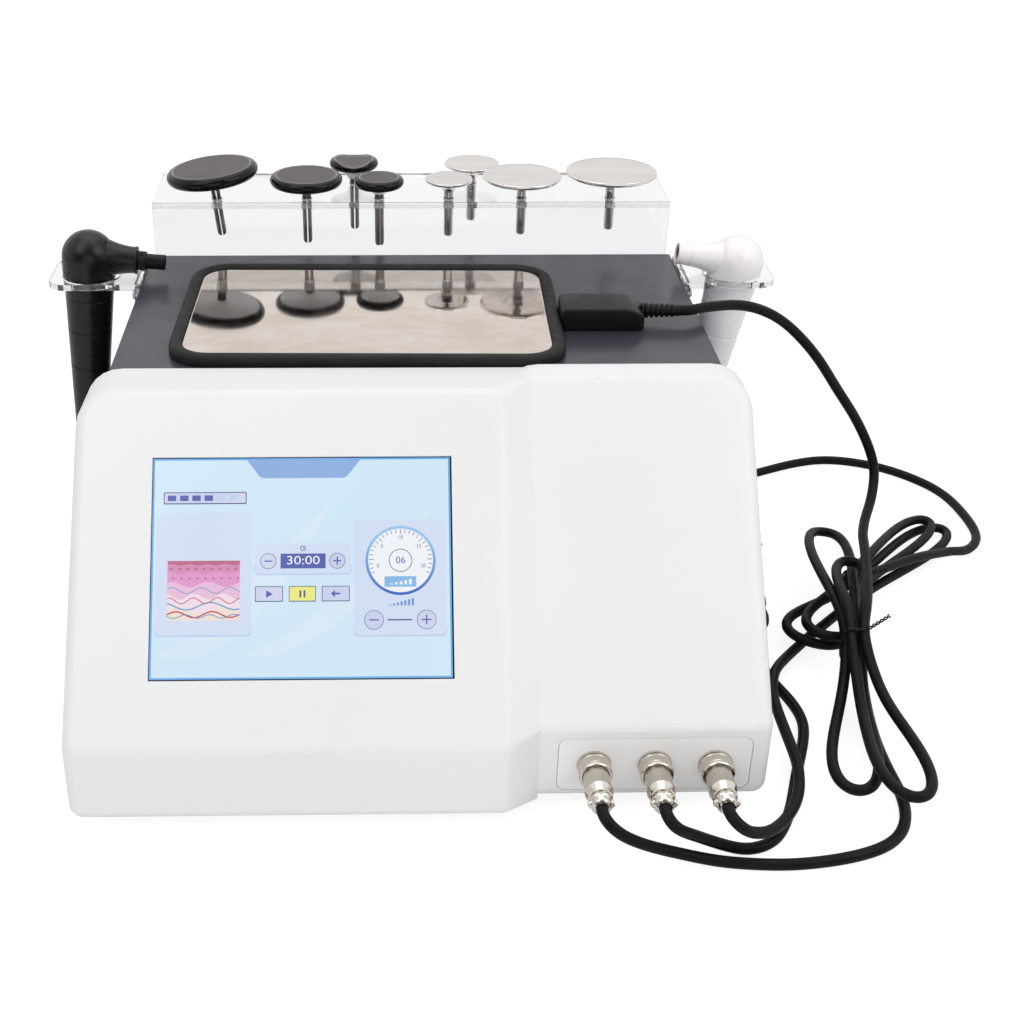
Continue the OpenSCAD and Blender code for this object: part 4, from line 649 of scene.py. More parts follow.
ALONG_X, ALONG_FRONT = turned(90, "Y"), turned(90, "X")


def arc(cx, cy, r, a0, a1, n):
    return [(cx + r * math.cos(math.radians(a0 + (a1 - a0) * i / n)),
             cy + r * math.sin(math.radians(a0 + (a1 - a0) * i / n))) for i in range(n + 1)]


# Edges of the plain solids

EDGES = {"top_cover": 0.7, "rear_panel": 0.3, "base_pan": 0.4, "socket_panel": 0.35,
         "touch_glass": 0.2, "electrode_rack": 0.45, "holder_left": 0.5, "holder_right": 0.5,
         "feet": 0.6, "mains_inlet": 0.5, "fuse_drawer": 0.3, "power_rocker": 0.4,
         "fan_frame": 0.5, "fan_guard": 0.2}
for name, width in EDGES.items():
    soften(NODES[name], width)
shade_evenly(NODES["front_shell"])


# Wire ties round the hanks' waists, each with its twisted ends

WIRE_R, END_R, END_L = 0.6, 0.5, 17


def wire_tie(form, waist, along, layers, lift=0.0):
    """Two turns of wire round a hank's runs, with its ends twisted together."""
    e = Vector((*along, 0)).normalized()
    n, up = Vector((-e.y, e.x, 0)), Vector((0, 0, 1))
    half = (layers * LAYER + 2 * CORD_R) / 2
    middle = Vector((*waist, BED_Z - CORD_R + lift + half))
    w, h = NECK + CORD_R + 1.0, half + 0.75
    loop = []
    for i in range(97):
        c, q = math.cos(math.tau * 2 * i / 96), math.sin(math.tau * 2 * i / 96)
        k = (abs(c) ** 3.2 + abs(q) ** 3.2) ** (-1 / 3.2)
        loop.append(middle + n * (w * k * c) + up * (h * k * q) + e * (1.3 * (i / 96 - 0.5)))
    form.tube(loop, WIRE_R, "black", 8)
    root = middle - n * (w * 0.7) + up * (h + 0.5)
    way = (-0.75 * n + 0.55 * e + 0.32 * up).normalized()
    side = way.cross(up).normalized()
    over = side.cross(way)
    for phase in (0, math.pi):
        turns = [(i / 48, phase + math.tau * 3 * i / 48) for i in range(49)]
        form.tube([root + way * (END_L * t) + (side * math.cos(a) + over * math.sin(a)) * 0.75
                   for t, a in turns], END_R, "black", 6)


def wire_ties():
    form = Form("wire_ties", at(0, 0, 0))
    wire_tie(form, PLATE_WAIST, PLATE_ALONG, 2, over_black(PLATE_WAIST))
    wire_tie(form, BLACK_WAIST, BLACK_ALONG, 2)
    wire_tie(form, WHITE_WAIST, WHITE_ALONG, 3)
    form.make("machine", "black_plastic", "cord_ties", 60)


wire_ties()


# Electrodes

PIN_R, PIN_SLOT = 3.0, 0.9
COATED_PIN_L, STEEL_PIN_L = 35, 30
LEANING_HUB = 10.4
# The hollow's round cutter: its axis over the disc's top, and its radius
SADDLE_Z, SADDLE_R = 26, 28.2


def split_pin(form, mat, turn_deg, length):
    """Round pin in two legs, which hangs from its own top."""
    turn = turned(turn_deg, "Z")
    form.lathe([(0, 0.02), (PIN_R - 0.3, 0.02), (PIN_R, -0.3), (PIN_R, -4.6), (0, -4.6)], mat, 32,
               turn)
    for s in (0, 180):
        leg = turn @ turned(s, "Z")
        rings = []
        for z, r in ((-4.5, PIN_R), (-10, PIN_R), (-18, PIN_R), (2.4 - length, PIN_R),
                     (1.3 - length, 2.85), (0.5 - length, 2.5), (0.1 - length, 2.0),
                     (-length, 1.5)):
            a = math.degrees(math.asin(PIN_SLOT / 2 / r))
            ring = arc(0, 0, r, a - 90, 90 - a, 12)
            ring += [(PIN_SLOT / 2, y) for y in (ring[-1][1] * 0.5, 0, -ring[-1][1] * 0.5)]
            rings.append([leg @ Vector((x, y, z)) for x, y in ring])
        form.bridge(rings, mat, caps=True)


def coated_profile(d, t, top, hub_d):
    """Hub and underside, rounded side, lip and face of a coated disc, as one line in parts."""
    rim = t / 2
    r0 = d / 2 - rim
    side = [(r0 + rim * math.cos(math.radians(a)), top - rim + rim * math.sin(math.radians(a)))
            for a in range(-90, 91, 10)]
    hub = [(0, 0), (hub_d / 2 - 0.5, 0), (hub_d / 2, 0.4), (hub_d * 0.9, top - t - 0.3),
           (hub_d * 0.9 + 1.2, top - t)]
    face = [((r0 - 0.9) * (1 - i / 10), top - 0.2) for i in range(11)]
    lip = [(r0, top), (r0 - 0.35, top + 0.02), (r0 - 0.6, top - 0.08), (r0 - 0.9, top - 0.2)]
    return hub + side[:1], side, lip, face


def coated_disc(name, height, d, t, top, hub_d, pin_turn, lean=0.0, saddle=False):
    """Coated electrode, its hub at a height over the shelf or leaning in its hole."""
    place = at(*HOLES[name], SHELF_TOP + height)
    if lean:
        place = (at(*HOLES[name], SHELF_TOP - RACK_T / 2) @ turned(-lean, "Y")
                 @ Matrix.Translation((0, 0, RACK_T / 2 + LEANING_HUB)))
    form = Form(name + "_electrode", place)
    rings = []
    # The lip's part carries the painted rim highlight
    for part, mat in zip(coated_profile(d, t, top, hub_d),
                         ("coating_under", "coating", "lip_painted_highlight", "coating_face")):
        rings += form.lathe(part, mat, 96)
    if saddle:
        for vert in sum(rings, []):
            hollow = top + SADDLE_Z - math.sqrt(SADDLE_R ** 2 - vert.co.x ** 2)
            vert.co.z = min(vert.co.z, hollow)
    split_pin(form, "pin_dark", pin_turn, COATED_PIN_L)
    form.make(name + "_body", "black_coating", name, 50)


def steel_disc(name, height, d, t, top, hub_d, pin_turn):
    form = Form(name + "_electrode", at(*HOLES[name], SHELF_TOP + height))
    r = d / 2
    flare = min(d * 0.55, hub_d * 2.6) / 2
    under = [(0, 0), (hub_d / 2 - 0.3, 0), (hub_d / 2, 0.3)]
    for i in range(7):
        s = i / 6
        under.append((hub_d / 2 + (flare - hub_d / 2) * s ** 1.6, 0.6 + (top - t - 0.6) * s))
    under += [(flare + 0.8, top - t + 0.02), (r - t, top - t), (r - t * 0.5, top - t * 0.95),
              (r - t * 0.2, top - t * 0.8), (r - 0.05, top - t * 0.6), (r, top - t * 0.45),
              (r, top - 0.45), (r - 0.1, top - 0.15), (r - 0.35, top)]
    form.lathe(under, "steel", 96)
    form.lathe([((r - 0.35) * (1 - i / 8), top) for i in range(9)], "steel_face", 96)
    split_pin(form, "pin_steel", pin_turn, STEEL_PIN_L)
    form.make(name + "_body", "polished_steel", name, 50)


coated_disc("coated_disc_large", 0, 60.5, 8, 10.7, 9, 12, lean=6)
coated_disc("coated_disc_medium", 5, 48, 6.8, 10.7, 9, 5)
coated_disc("coated_disc_small", 3, 33, 6.4, 11, 8.5, 12)
coated_disc("coated_disc_saddle", 3.4, 33, 6.2, 13.2, 8.5, 0, saddle=True)
steel_disc("steel_disc_large", 8.5, 60, 3, 9.4, 10, -35)
steel_disc("steel_disc_medium", 5.4, 52, 3, 9.6, 10, -38)
steel_disc("steel_disc_small", 4.5, 31.5, 2.4, 8.6, 8.5, -40)
steel_disc("steel_disc_rear", 4, 37, 2.4, 9.6, 8.5, -20)


# Return plate on the box's top

BOX_TOP = 200
PLATE_W, PLATE_D, PLATE_CORNER_R = 230.5, 153, 25
SHEET_FLOOR, SHEET_TOP = 4.3, 5.3
PLATE_PLACE = at(-27.5, 240.5, BOX_TOP) @ turned(-1, "Z")


def plate_ring(inset, z):
    """Rounded rectangle of the plate's outline, drawn in by an inset, at a height."""
    w, d = PLATE_W / 2 - PLATE_CORNER_R, PLATE_D / 2 - PLATE_CORNER_R
    corners = ((w, d, 0), (-w, d, 90), (-w, -d, 180), (w, -d, 270))
    return [Vector((x, y, z)) for cx, cy, a in corners
            for x, y in arc(cx, cy, PLATE_CORNER_R - inset, a, a + 90, 10)]


def return_plate():
    """Rubber rim, and the steel sheet that it holds."""
    rim = Form("plate_rim_moulding", PLATE_PLACE)
    section = [(8.3, 0.02), (0.7, 0.02), (0.2, 0.15), (0, 0.6), (0, 3.2), (0.08, 4.2), (0.35, 5.2),
               (0.9, 6.1), (1.8, 6.7), (2.9, 6.95), (4.2, 7), (5.3, 6.95), (6.3, 6.75), (7.1, 6.3),
               (7.6, 5.7), (7.75, 5.0), (7.75, 4.4), (8.3, 4.32)]
    rim.bridge([plate_ring(*q) for q in section], "rim_rubber")
    rim.make("return_electrode", "black_rubber", "plate_rim", 60)
    sheet = Form("return_plate_sheet", PLATE_PLACE)
    edge = [(8.4, SHEET_FLOOR), (8.2, SHEET_FLOOR + 0.2), (8.15, SHEET_TOP - 0.3),
            (8.25, SHEET_TOP - 0.08), (8.45, SHEET_TOP)]
    sheet.bridge([plate_ring(*q) for q in edge], "steel")
    sheet.bridge([plate_ring(inset, SHEET_TOP) for inset in (8.45, 9.2)], "plate_steel")
    sheet.mark([sheet.bm.faces.new([sheet.bm.verts.new(q) for q in plate_ring(9.2, SHEET_TOP)])],
               "plate_steel")
    sheet.make("return_electrode", "polished_steel", "return_plate", 30)


PLUG_Y, PLUG_L, PLUG_HALF_W, PLUG_H = -7.5, 50, 14, 13.7


def plate_plug():
    """Moulded block on the plate's tab, with a ribbed sleeve round its cord."""
    form = Form("plate_plug_moulding",
                PLATE_PLACE @ Matrix.Translation((PLATE_W / 2, PLUG_Y, 0)))
    # Each cross-section's place along the block, and how much narrower and lower it is
    sections = [(0.05, 0.8, 1.6), (0.5, 0.25, 0.9), (1.4, 0, 0.35), (3, 0, 0), (20, 0, 0),
                (PLUG_L - 12, 0, 0), (PLUG_L - 8, 0, 0.5), (PLUG_L - 3.5, 0.6, 2.6),
                (PLUG_L - 1.2, 1.8, 4.2), (PLUG_L - 0.2, 3.4, 5.4)]
    rings = []
    for x, narrower, lower in sections:
        w, h, low, foot = PLUG_HALF_W - narrower, PLUG_H - lower, 0.3, 0.6
        corners = ((w - 1.6, h - 1.6, 1.6, 0), (1.6 - w, h - 1.6, 1.6, 90),
                   (foot - w, low + foot, foot, 180), (w - foot, low + foot, foot, 270))
        rings.append([Vector((x, u, v)) for cy, cz, r, a in corners
                      for u, v in arc(cy, cz, r, a, a + 90, 5)])
    form.bridge(rings, "plug_black", caps=True)
    sleeve = [(0, 0), (4.4, 0), (4.4, 1.4)]
    for i in range(6):
        z, r = 2.2 + i * 3.1, 4.55 - i * 0.12
        sleeve += [(3.2, z), (r - 0.25, z + 0.15), (r, z + 0.5), (r, z + 1.5),
                   (r - 0.25, z + 1.85), (3.2, z + 2.0)]
    sleeve += [(3.5, 21.2), (3.5, 22.6), (3.3, 22.9), (0, 22.9)]
    form.lathe(sleeve, "plug_black", 48, Matrix.Translation((PLUG_L - 1, 0, 8)) @ ALONG_X)
    form.make("return_electrode", "black_plastic", "plate_plug", 40)


return_plate()
plate_plug()


# Handles

# Heights run down from the head's middle
HEAD_R, JOINT_Z, GRIP_END, BOOT_L = 17.2, -26, -137, 16
BODY_TOP_R, BODY_MIDDLE_R, BODY_END_R, BOOT_R = 15.4, 14.2, 9.6, 6
GRIP_LOW, GRIP_HIGH, SEAMS = GRIP_END + 14, -50, (-74.3, -48.7)
BLACK_HEAD, BLACK_LEAN = (-208.073, 309.5, 214.24), 5
WHITE_HEAD, WHITE_LEAN = (210.188, 309.5, 209.369), -9


def handle_frame(side, lean, middle):
    flip = Matrix.Diagonal((-side, 1, 1, 1))
    return at(*middle) @ flip @ turned(lean, "Y")


def grip_radius(z):
    low_r = BODY_END_R + 0.9
    if z < GRIP_HIGH:
        return low_r + (BODY_MIDDLE_R - low_r) * (z - GRIP_LOW) / (GRIP_HIGH - GRIP_LOW)
    return BODY_MIDDLE_R + (BODY_TOP_R - BODY_MIDDLE_R) * (z - GRIP_HIGH) / (JOINT_Z - GRIP_HIGH)


def grip_profile():
    """Grip from the cord's ribbed boot up to the head, with a groove at each seam."""
    end, r = GRIP_END, grip_radius
    line = [(3.3, end - BOOT_L), (BOOT_R - 1.7, end - BOOT_L)]
    for i in range(5):
        z, rib = end - BOOT_L + 1.6 + i * 2.7, BOOT_R - 1.6 + 1.6 * (i + 0.5) / 5.5
        line += [(rib, z - 1.2), (rib + 0.1, z - 0.2), (rib - 0.5, z), (rib - 0.5, z + 0.7),
                 (rib + 0.1, z + 0.9)]
    line += [(BOOT_R, end - 0.6), (BODY_END_R - 2.2, end - 0.02), (BODY_END_R - 0.9, end + 0.5),
             (BODY_END_R - 0.2, end + 1.6)]
    line += [(BODY_END_R + 0.9 * up / 14, end + up) for up in (4, 9, 14)]
    z = GRIP_LOW + 6
    while z < JOINT_Z - 2:
        near = [q for q in SEAMS if abs(q - z) < 2.5]
        if near:
            q = near[0]
            line += [(r(q - 0.55), q - 0.55), (r(q) - 0.18, q - 0.32), (r(q) - 0.5, q - 0.2),
                     (r(q) - 0.5, q + 0.2), (r(q) - 0.18, q + 0.32), (r(q + 0.55), q + 0.55)]
            z = q + 4
        else:
            line.append((r(z), z))
            z += 5
    return line + [(BODY_TOP_R, JOINT_Z - 0.35), (BODY_TOP_R - 0.3, JOINT_Z - 0.05),
                   (11, JOINT_Z - 0.02), (11, JOINT_Z + 5)]


def bulb_profile():
    """Round head above its joint with the grip: a short waist under a ball."""
    waist = [(BODY_TOP_R + (HEAD_R - BODY_TOP_R) * math.sin(math.pi / 2 * i / 8),
              JOINT_Z * (1 - i / 8)) for i in range(1, 9)]
    ball = [(HEAD_R * math.cos(math.radians(a)), HEAD_R * math.sin(math.radians(a)))
            for a in range(6, 90, 6)]
    return [(11, JOINT_Z + 0.02), (BODY_TOP_R - 0.3, JOINT_Z + 0.02),
            (BODY_TOP_R, JOINT_Z + 0.3)] + waist + ball + [(0, HEAD_R)]


def flare(mouth_r, length):
    """Nozzle from its foot on the ball out to its mouth, in a hollow sweep."""
    foot_r, foot = 12.3, 11.6
    return [(foot_r - 1.2, 9.4), (foot_r, 10.2), (foot_r, foot)] + [
        (foot_r + (mouth_r - foot_r) * (1 - (1 - i / 10) ** 1.9), foot + (length - foot) * i / 10)
        for i in range(1, 11)]


def grip_and_head(name, skin, slot, place, nozzle):
    grip = Form(name + "_grip", place)
    grip.lathe(grip_profile(), skin, 96)
    grip.make(name, slot, name + "_body", 28)
    head = Form(name + "_bulb", place)
    head.lathe(bulb_profile(), skin, 96)
    head.lathe(nozzle, skin, 96, ALONG_X)
    head.make(name, slot, name + "_head", 28)


def black_handle():
    place = handle_frame(-1, BLACK_LEAN, BLACK_HEAD)
    nozzle = flare(8.5, 29.4) + [(8.9, 29.9), (8.9, 30.9), (8.5, 31.3), (5.1, 31.3), (5.1, 28)]
    grip_and_head("black_handle", "handle_black", "black_plastic", place, nozzle)
    tip = Form("black_handle_stub", place)

    def knurl(i, r, z):
        return r - (0.22 if i % 2 and 32 < z < 36.2 and r > 5.9 else 0)

    tip.lathe([(5, 28), (5, 31.35), (6.0, 31.4), (6.1, 31.8), (6.1, 32.2), (6.1, 33.2),
               (6.1, 34.6), (6.1, 36), (6.1, 36.5), (5.9, 36.8), (4.9, 36.85), (4.9, 38),
               (4.8, 43), (4.9, 48.6), (4.6, 49), (3.3, 49), (3.1, 48.7), (3.1, 29)],
              "black_gloss", 80, ALONG_X, knurl)
    tip.make("black_handle", "black_plastic", "black_handle_socket", 28)


def white_handle():
    place = handle_frame(1, WHITE_LEAN, WHITE_HEAD)
    nozzle = flare(7.3, 31.1) + [(7.2, 31.2), (6.85, 31.3), (6.85, 31.6), (7.15, 31.8), (7.1, 35),
                                 (7.0, 39.3), (6.6, 39.9), (5.6, 40), (5.1, 39.6), (5.1, 31)]
    grip_and_head("white_handle", "white_handle", "white_handle_plastic", place, nozzle)
    core = Form("white_handle_contact", place)
    core.lathe([(5, 30), (5, 38.9), (4.7, 39.2), (3.4, 39.2), (3.1, 38.9), (3.1, 20), (0, 19.2)],
               "brass", 64, ALONG_X)
    core.make("white_handle", "brass_socket", "white_handle_socket", 28)


black_handle()
white_handle()


# Connectors, along +Z out of the panel

STEP_D, RING_BASE, RING_L = 16, 1.65, 9


def connector(number, x):
    """Coupling ring and cable plug, with the cord clamp's ears and screws."""
    place = at(x, STEP_D, SOCKET_Z) @ ALONG_FRONT
    base, end = RING_BASE, RING_BASE + RING_L
    ring = Form("coupling_ring_skin_%d" % number, place)

    def knurl(k, r, z):
        return r - (0.13 if k % 3 == 0 and base + 1.5 < z < base + 6.3 and r > 8.8 else 0)

    ring.lathe([(7.75, base), (8.7, base), (9.1, base + 0.4), (9.1, base + 1.2),
                (8.95, base + 1.45), (9.02, base + 1.7), (9.02, base + 4), (9.02, base + 6.2),
                (8.85, base + 6.5), (8.85, base + 6.9), (9.1, base + 7.2), (9.1, base + 8.1),
                (8.95, base + 8.5), (8.5, end - 0.05), (8.2, end), (7.6, end), (7.3, end - 0.3),
                (7.3, base + 6)], "nickel", 144, wave=knurl)
    ring.make("ring_%d" % number, "nickel", "coupling_ring_%d" % number, 30)
    plug = Form("cable_plug_skin_%d" % number, place)
    top = end + 12
    plug.lathe([(7.0, base + 5), (7.2, base + 5.4), (7.2, end + 1), (7.2, end + 6),
                (7.2, top - 0.4), (7.35, top - 0.1)], "satin_nickel", 96)
    plug.lathe([(7.35, top - 0.1), (7.65, top + 0.1), (7.7, top + 0.6), (7.6, top + 1.3),
                (7.1, top + 2.4), (6.75, top + 3.8), (6.7, top + 5.2), (6.6, top + 5.8),
                (6.2, top + 6), (5.4, top + 6.1), (5.4, top + 6.5)], "bright_nickel", 96)
    plug.lathe([(5.4, top + 6.3), (5.9, top + 6.5), (6.1, top + 6.9), (6.1, top + 8.4),
                (5.8, top + 8.8), (5.6, top + 9.2), (5.6, top + 12.2), (5.3, top + 12.8),
                (4.4, top + 13.6), (3.9, top + 14), (3.4, top + 14), (3.3, top + 12)],
               "nickel", 64)
    for s in (-1, 1):
        side = Matrix.Translation((s * 5.3, 0, top + 10.2)) @ turned(90 * s, "Y")
        plug.prism(arc(0, 0, 2.35, 0, 345, 23), -1.4, 0.9, "nickel", side, 0.3)
        plug.lathe([(0, 1.75), (1.1, 1.75), (1.5, 1.5), (1.6, 1.1), (1.6, 0.8)],
                   "bright_nickel", 24, side)
        plug.prism([(-1.45, -0.2), (1.45, -0.2), (1.45, 0.2), (-1.45, 0.2)], 1.5, 1.78,
                   "black", side)
    plug.make("machine", "nickel", "cable_plug_%d" % number, 30)


for number, x in enumerate(SOCKET_XS, 1):
    connector(number, x)


# Screen picture, drawn as thin layers on the glass

FACE_ANGLE = math.atan2(146, 130)
FACE_SIN, FACE_COS, FACE_FOOT = math.sin(FACE_ANGLE), math.cos(FACE_ANGLE), 56
LEFT, RIGHT, LOW, HIGH = -144.5, 17.5, 37.0, 158.5
# Levels under the face: the glass, and the steps from one drawn layer to the next
GLASS_LEVEL, LAYER_STEP, THIN_STEP = -1.44, 0.05, 0.03
DISPLAY_GLOW = 0.92


def on_face(x, v, n):
    """Frame point from a place on the sloped face: across, up the slope and out of it."""
    return mm(x, v * FACE_COS - n * FACE_SIN, FACE_FOOT + v * FACE_SIN + n * FACE_COS)


def srgb(code):
    parts = [int(code[i:i + 2], 16) / 255 for i in (0, 2, 4)]
    return tuple(p / 12.92 if p <= 0.04045 else ((p + 0.055) / 1.055) ** 2.4 for p in parts)


def glowing(m, color):
    m.set(Emission_Color=color, Emission_Strength=DISPLAY_GLOW)
    return m.m


def display(name):
    return Mat(name, (0.01, 0.01, 0.012), 0.12, Specular_IOR_Level=0.35)


def lit(name, low, high):
    """Lit colour that wanders between two tones, with the display's fine lines."""
    m = display(name)
    lines = calc(m.tree, "MULTIPLY", m.stripes(900), 0.2)
    share = calc(m.tree, "MULTIPLY_ADD", m.noise(16, 2, distortion=0.6), 0.5, lines)
    return glowing(m, m.ramp(share, [(0.15, srgb(low)), (0.6, srgb(high))]))


def graded(name, low, high, z_low, z_high):
    """Lit colour that runs from low to high between two heights, in millimetres."""
    m = display(name)
    up = m.add("SeparateXYZ", Vector=m.coords).outputs["Z"]
    share = m.add("MapRange", Value=up, From_Min=z_low * MM, From_Max=z_high * MM).outputs[0]
    return glowing(m, m.ramp(share, [(0.0, srgb(low)), (1.0, srgb(high))]))


class Picture:
    """Flat shapes on the sloped face, gathered into one mesh, each with the key of its tone."""

    def __init__(self, name, tones):
        self.name, self.verts, self.faces, self.marks, self.used = name, [], [], [], []
        self.level, self.tones = GLASS_LEVEL, tones

    def up(self, step=LAYER_STEP):
        self.level += step

    def add(self, outline, tone):
        if tone not in self.used:
            self.used.append(tone)
        start = len(self.verts)
        self.verts += [on_face(x, v, self.level) for x, v in outline]
        self.faces.append(tuple(range(start, start + len(outline))))
        self.marks.append(self.used.index(tone))

    def box(self, x0, v0, x1, v1, tone, r=0.0):
        if r:
            corners = ((x1 - r, v1 - r, 0), (x0 + r, v1 - r, 90), (x0 + r, v0 + r, 180),
                       (x1 - r, v0 + r, 270))
            self.add([q for cx, cv, a in corners for q in arc(cx, cv, r, a, a + 90, 6)], tone)
        else:
            self.add([(x0, v0), (x1, v0), (x1, v1), (x0, v1)], tone)

    def frame(self, x0, v0, x1, v1, w, tone):
        self.box(x0, v0, x1, v0 + w, tone)
        self.box(x0, v1 - w, x1, v1, tone)
        self.box(x0, v0 + w, x0 + w, v1 - w, tone)
        self.box(x1 - w, v0 + w, x1, v1 - w, tone)

    def disc(self, x, v, r, tone, n=40):
        self.add(arc(x, v, r, 0, 360, n)[:-1], tone)

    def ring(self, x, v, r0, r1, tone, n=48):
        inner, outer = arc(x, v, r0, 0, 360, n), arc(x, v, r1, 0, 360, n)
        self.strip(outer, inner, tone)

    def strip(self, low, high, tone):
        """Fills the space between two lines that have as many points."""
        for i in range(len(low) - 1):
            self.add([low[i], low[i + 1], high[i + 1], high[i]], tone)

    def line(self, points, w, tone):
        for (ax, av), (bx, bv) in zip(points, points[1:]):
            d = math.hypot(bx - ax, bv - av) or 1
            nx, nv = -(bv - av) / d * w / 2, (bx - ax) / d * w / 2
            self.add([(ax + nx, av + nv), (ax - nx, av - nv), (bx - nx, bv - nv),
                      (bx + nx, bv + nv)], tone)

    def digits(self, text, x, v, size, tone, stretch=1.0):
        data = bpy.data.curves.new("digits", "FONT")
        data.body, data.size = text, size
        data.align_x = data.align_y = "CENTER"
        data.resolution_u = 4
        mesh = evaluated(link(bpy.data.objects.new("digits", data)))
        for face in mesh.polygons:
            self.add([(x + mesh.vertices[i].co.x * stretch, v + mesh.vertices[i].co.y)
                      for i in face.vertices], tone)
        bpy.data.meshes.remove(mesh)

    def make(self):
        mesh = bpy.data.meshes.new(self.name)
        mesh.from_pydata([tuple(q) for q in self.verts], [], self.faces)
        for tone in self.used:
            mesh.materials.append(self.tones[tone])
        for face, mark in zip(mesh.polygons, self.marks):
            face.material_index = mark
        obj = link(bpy.data.objects.new(self.name, mesh))
        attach(obj, "machine")


# The display's upper edge, its height and its narrowing in the picture that the layout is drawn
# on, in that picture's pixels, and how much nearer its lower edge is
VIEW_TOP, VIEW_H, VIEW_LEFT, VIEW_RIGHT = 457.4, 222.6, (153.5, -8), (451.8, 2.4)
NEARER = 1.034
# Millimetres per pixel of that picture, for the round keys' radii
KEY_SCALE = 0.54


def screen_place(px, py):
    """Place on the face of a point of the display's view."""
    t = (py - VIEW_TOP) / VIEW_H
    left, right = VIEW_LEFT[0] + VIEW_LEFT[1] * t, VIEW_RIGHT[0] + VIEW_RIGHT[1] * t
    s = (px - left) / (right - left)
    w = NEARER * t / (NEARER * t + 1 - t)
    return LEFT + s * (RIGHT - LEFT), HIGH - w * (HIGH - LOW)


def screen_box(px0, py0, px1, py1):
    x0, v1 = screen_place(px0, py0)
    x1, v0 = screen_place(px1, py1)
    return x0, v0, x1, v1


TONES = {
    "background": ("D4EDFE", "DCF1FF"), "swoosh": ("DAEEFC", "E4F4FF"),
    "edge": ("6AACEC", "7FBCF4"), "tab": ("88AEE4", "9CBCEA"), "card": ("D6E3FA", "DEE9FC"),
    "card_shade": ("C2D6F4", "C8DBF6"), "ink": ("4E5C8E", "5C6A9C"), "slate": ("5864B0", "6470BC"),
    "white": ("F4F8FE", "FBFDFF"), "lilac": ("C9CFEF", "E4E8FA"), "yellow": ("EFEE7C", "F6F5A0"),
    "blue": ("5C8FD6", "7AA8E4"), "label": ("86BDEB", "9ACBF2"), "red": ("C8405A", "D45068"),
    "teal": ("4E9CC8", "62ACD4"),
}
BANDS = ["F6E6DA", "F7E4EE", "EFC4E0", "E6A2D2", "DC94BE", "C4708E"]


def draw_ground(p):
    """Background with two faint bands that sweep up to the right, edge and tab."""
    x0, x1, v0, v1 = LEFT + 0.4, RIGHT - 0.9, LOW + 0.8, HIGH - 0.5
    p.box(x0, v0, x1, v1, "background")
    p.up()
    for a, b, w in ((0.02, 0.62, 0.10), (0.30, 0.98, 0.06)):
        lower, upper = [], []
        for t in (i / 20 for i in range(21)):
            x = x0 + (x1 - x0) * (a + (b - a) * t)
            v = v0 + 2 + (v1 - v0 - 16) * (0.1 + 0.85 * t ** 1.7)
            half = (v1 - v0) * w * math.sin(math.pi * t)
            lower.append((x, v - half))
            upper.append((x, v + half))
        p.strip(lower, upper, "swoosh")
    p.up()
    p.frame(x0, v0, x1, v1, 1.0, "edge")
    (tl, _), (tr, _) = screen_place(246, 459), screen_place(362, 459)
    (bl, low), (br, _) = screen_place(262, 478), screen_place(345, 478)
    p.add([(tl, v1), (bl - 1.2, low + 0.9), (bl + 0.8, low), (br - 0.8, low),
           (br + 1.2, low + 0.9), (tr, v1)], "tab")
    for corners in ((157, 512, 249, 634), (255, 543, 350, 573), (354, 520, 446, 635)):
        left, low, right, high = screen_box(*corners)
        p.box(left - 0.4, low - 0.9, right + 0.4, low + 6, "card_shade", 2.4)
        p.up(THIN_STEP)
        p.box(left, low, right, high, "card", 2.4)
        p.up(-THIN_STEP)
    p.up(0.08)


def draw_level(p):
    """Level bar in its frame."""
    left, low, right, high = screen_box(164, 491.5, 246.5, 503.5)
    p.box(left, low, right, high, "ink", 0.8)
    p.up()
    p.box(left + 0.5, low + 0.6, right - 0.5, high - 0.5, "lilac", 0.5)
    p.up()
    for i in range(6):
        x = left + 2.2 + i * 6.6
        p.box(x, low + 1.8, x + 4.6, high - 1.8, "slate" if i < 4 else "card_shade", 0.4)


def draw_round_keys(p):
    """Minus and plus keys of the clock and of the dial, and the line between the dial's."""
    for px, py, r, plus in ((267.7, 560.6, 8, False), (336.8, 560.6, 8, True),
                            (373.2, 620, 9.7, False), (426.2, 620, 9.7, True)):
        x, v = screen_place(px, py)
        r *= KEY_SCALE
        p.disc(x, v, r, "ink")
        p.up(THIN_STEP)
        p.disc(x, v, r - 0.3, "lilac")
        p.up(THIN_STEP)
        p.box(x - r * 0.5, v - 0.35, x + r * 0.5, v + 0.35, "slate")
        if plus:
            p.box(x - 0.35, v - r * 0.5, x + 0.35, v + r * 0.5, "slate")
        p.up(-2 * THIN_STEP)
    p.box(*screen_box(387, 619.3, 411.5, 620.7), "ink")


def draw_clock(p):
    """Clock display with a small clock sign over it."""
    left, low, right, high = screen_box(280, 553.2, 325, 568)
    p.box(left, low, right, high, "slate")
    x, v = screen_place(302.5, 548)
    p.ring(x, v, 1.1, 1.5, "ink")
    p.line([(x, v + 0.9), (x, v), (x + 0.7, v)], 0.3, "ink")
    p.up()
    p.digits("30:00", (left + right) / 2, (low + high) / 2 + 0.2, 6.6, "white", 1.25)
    p.up(-LAYER_STEP)


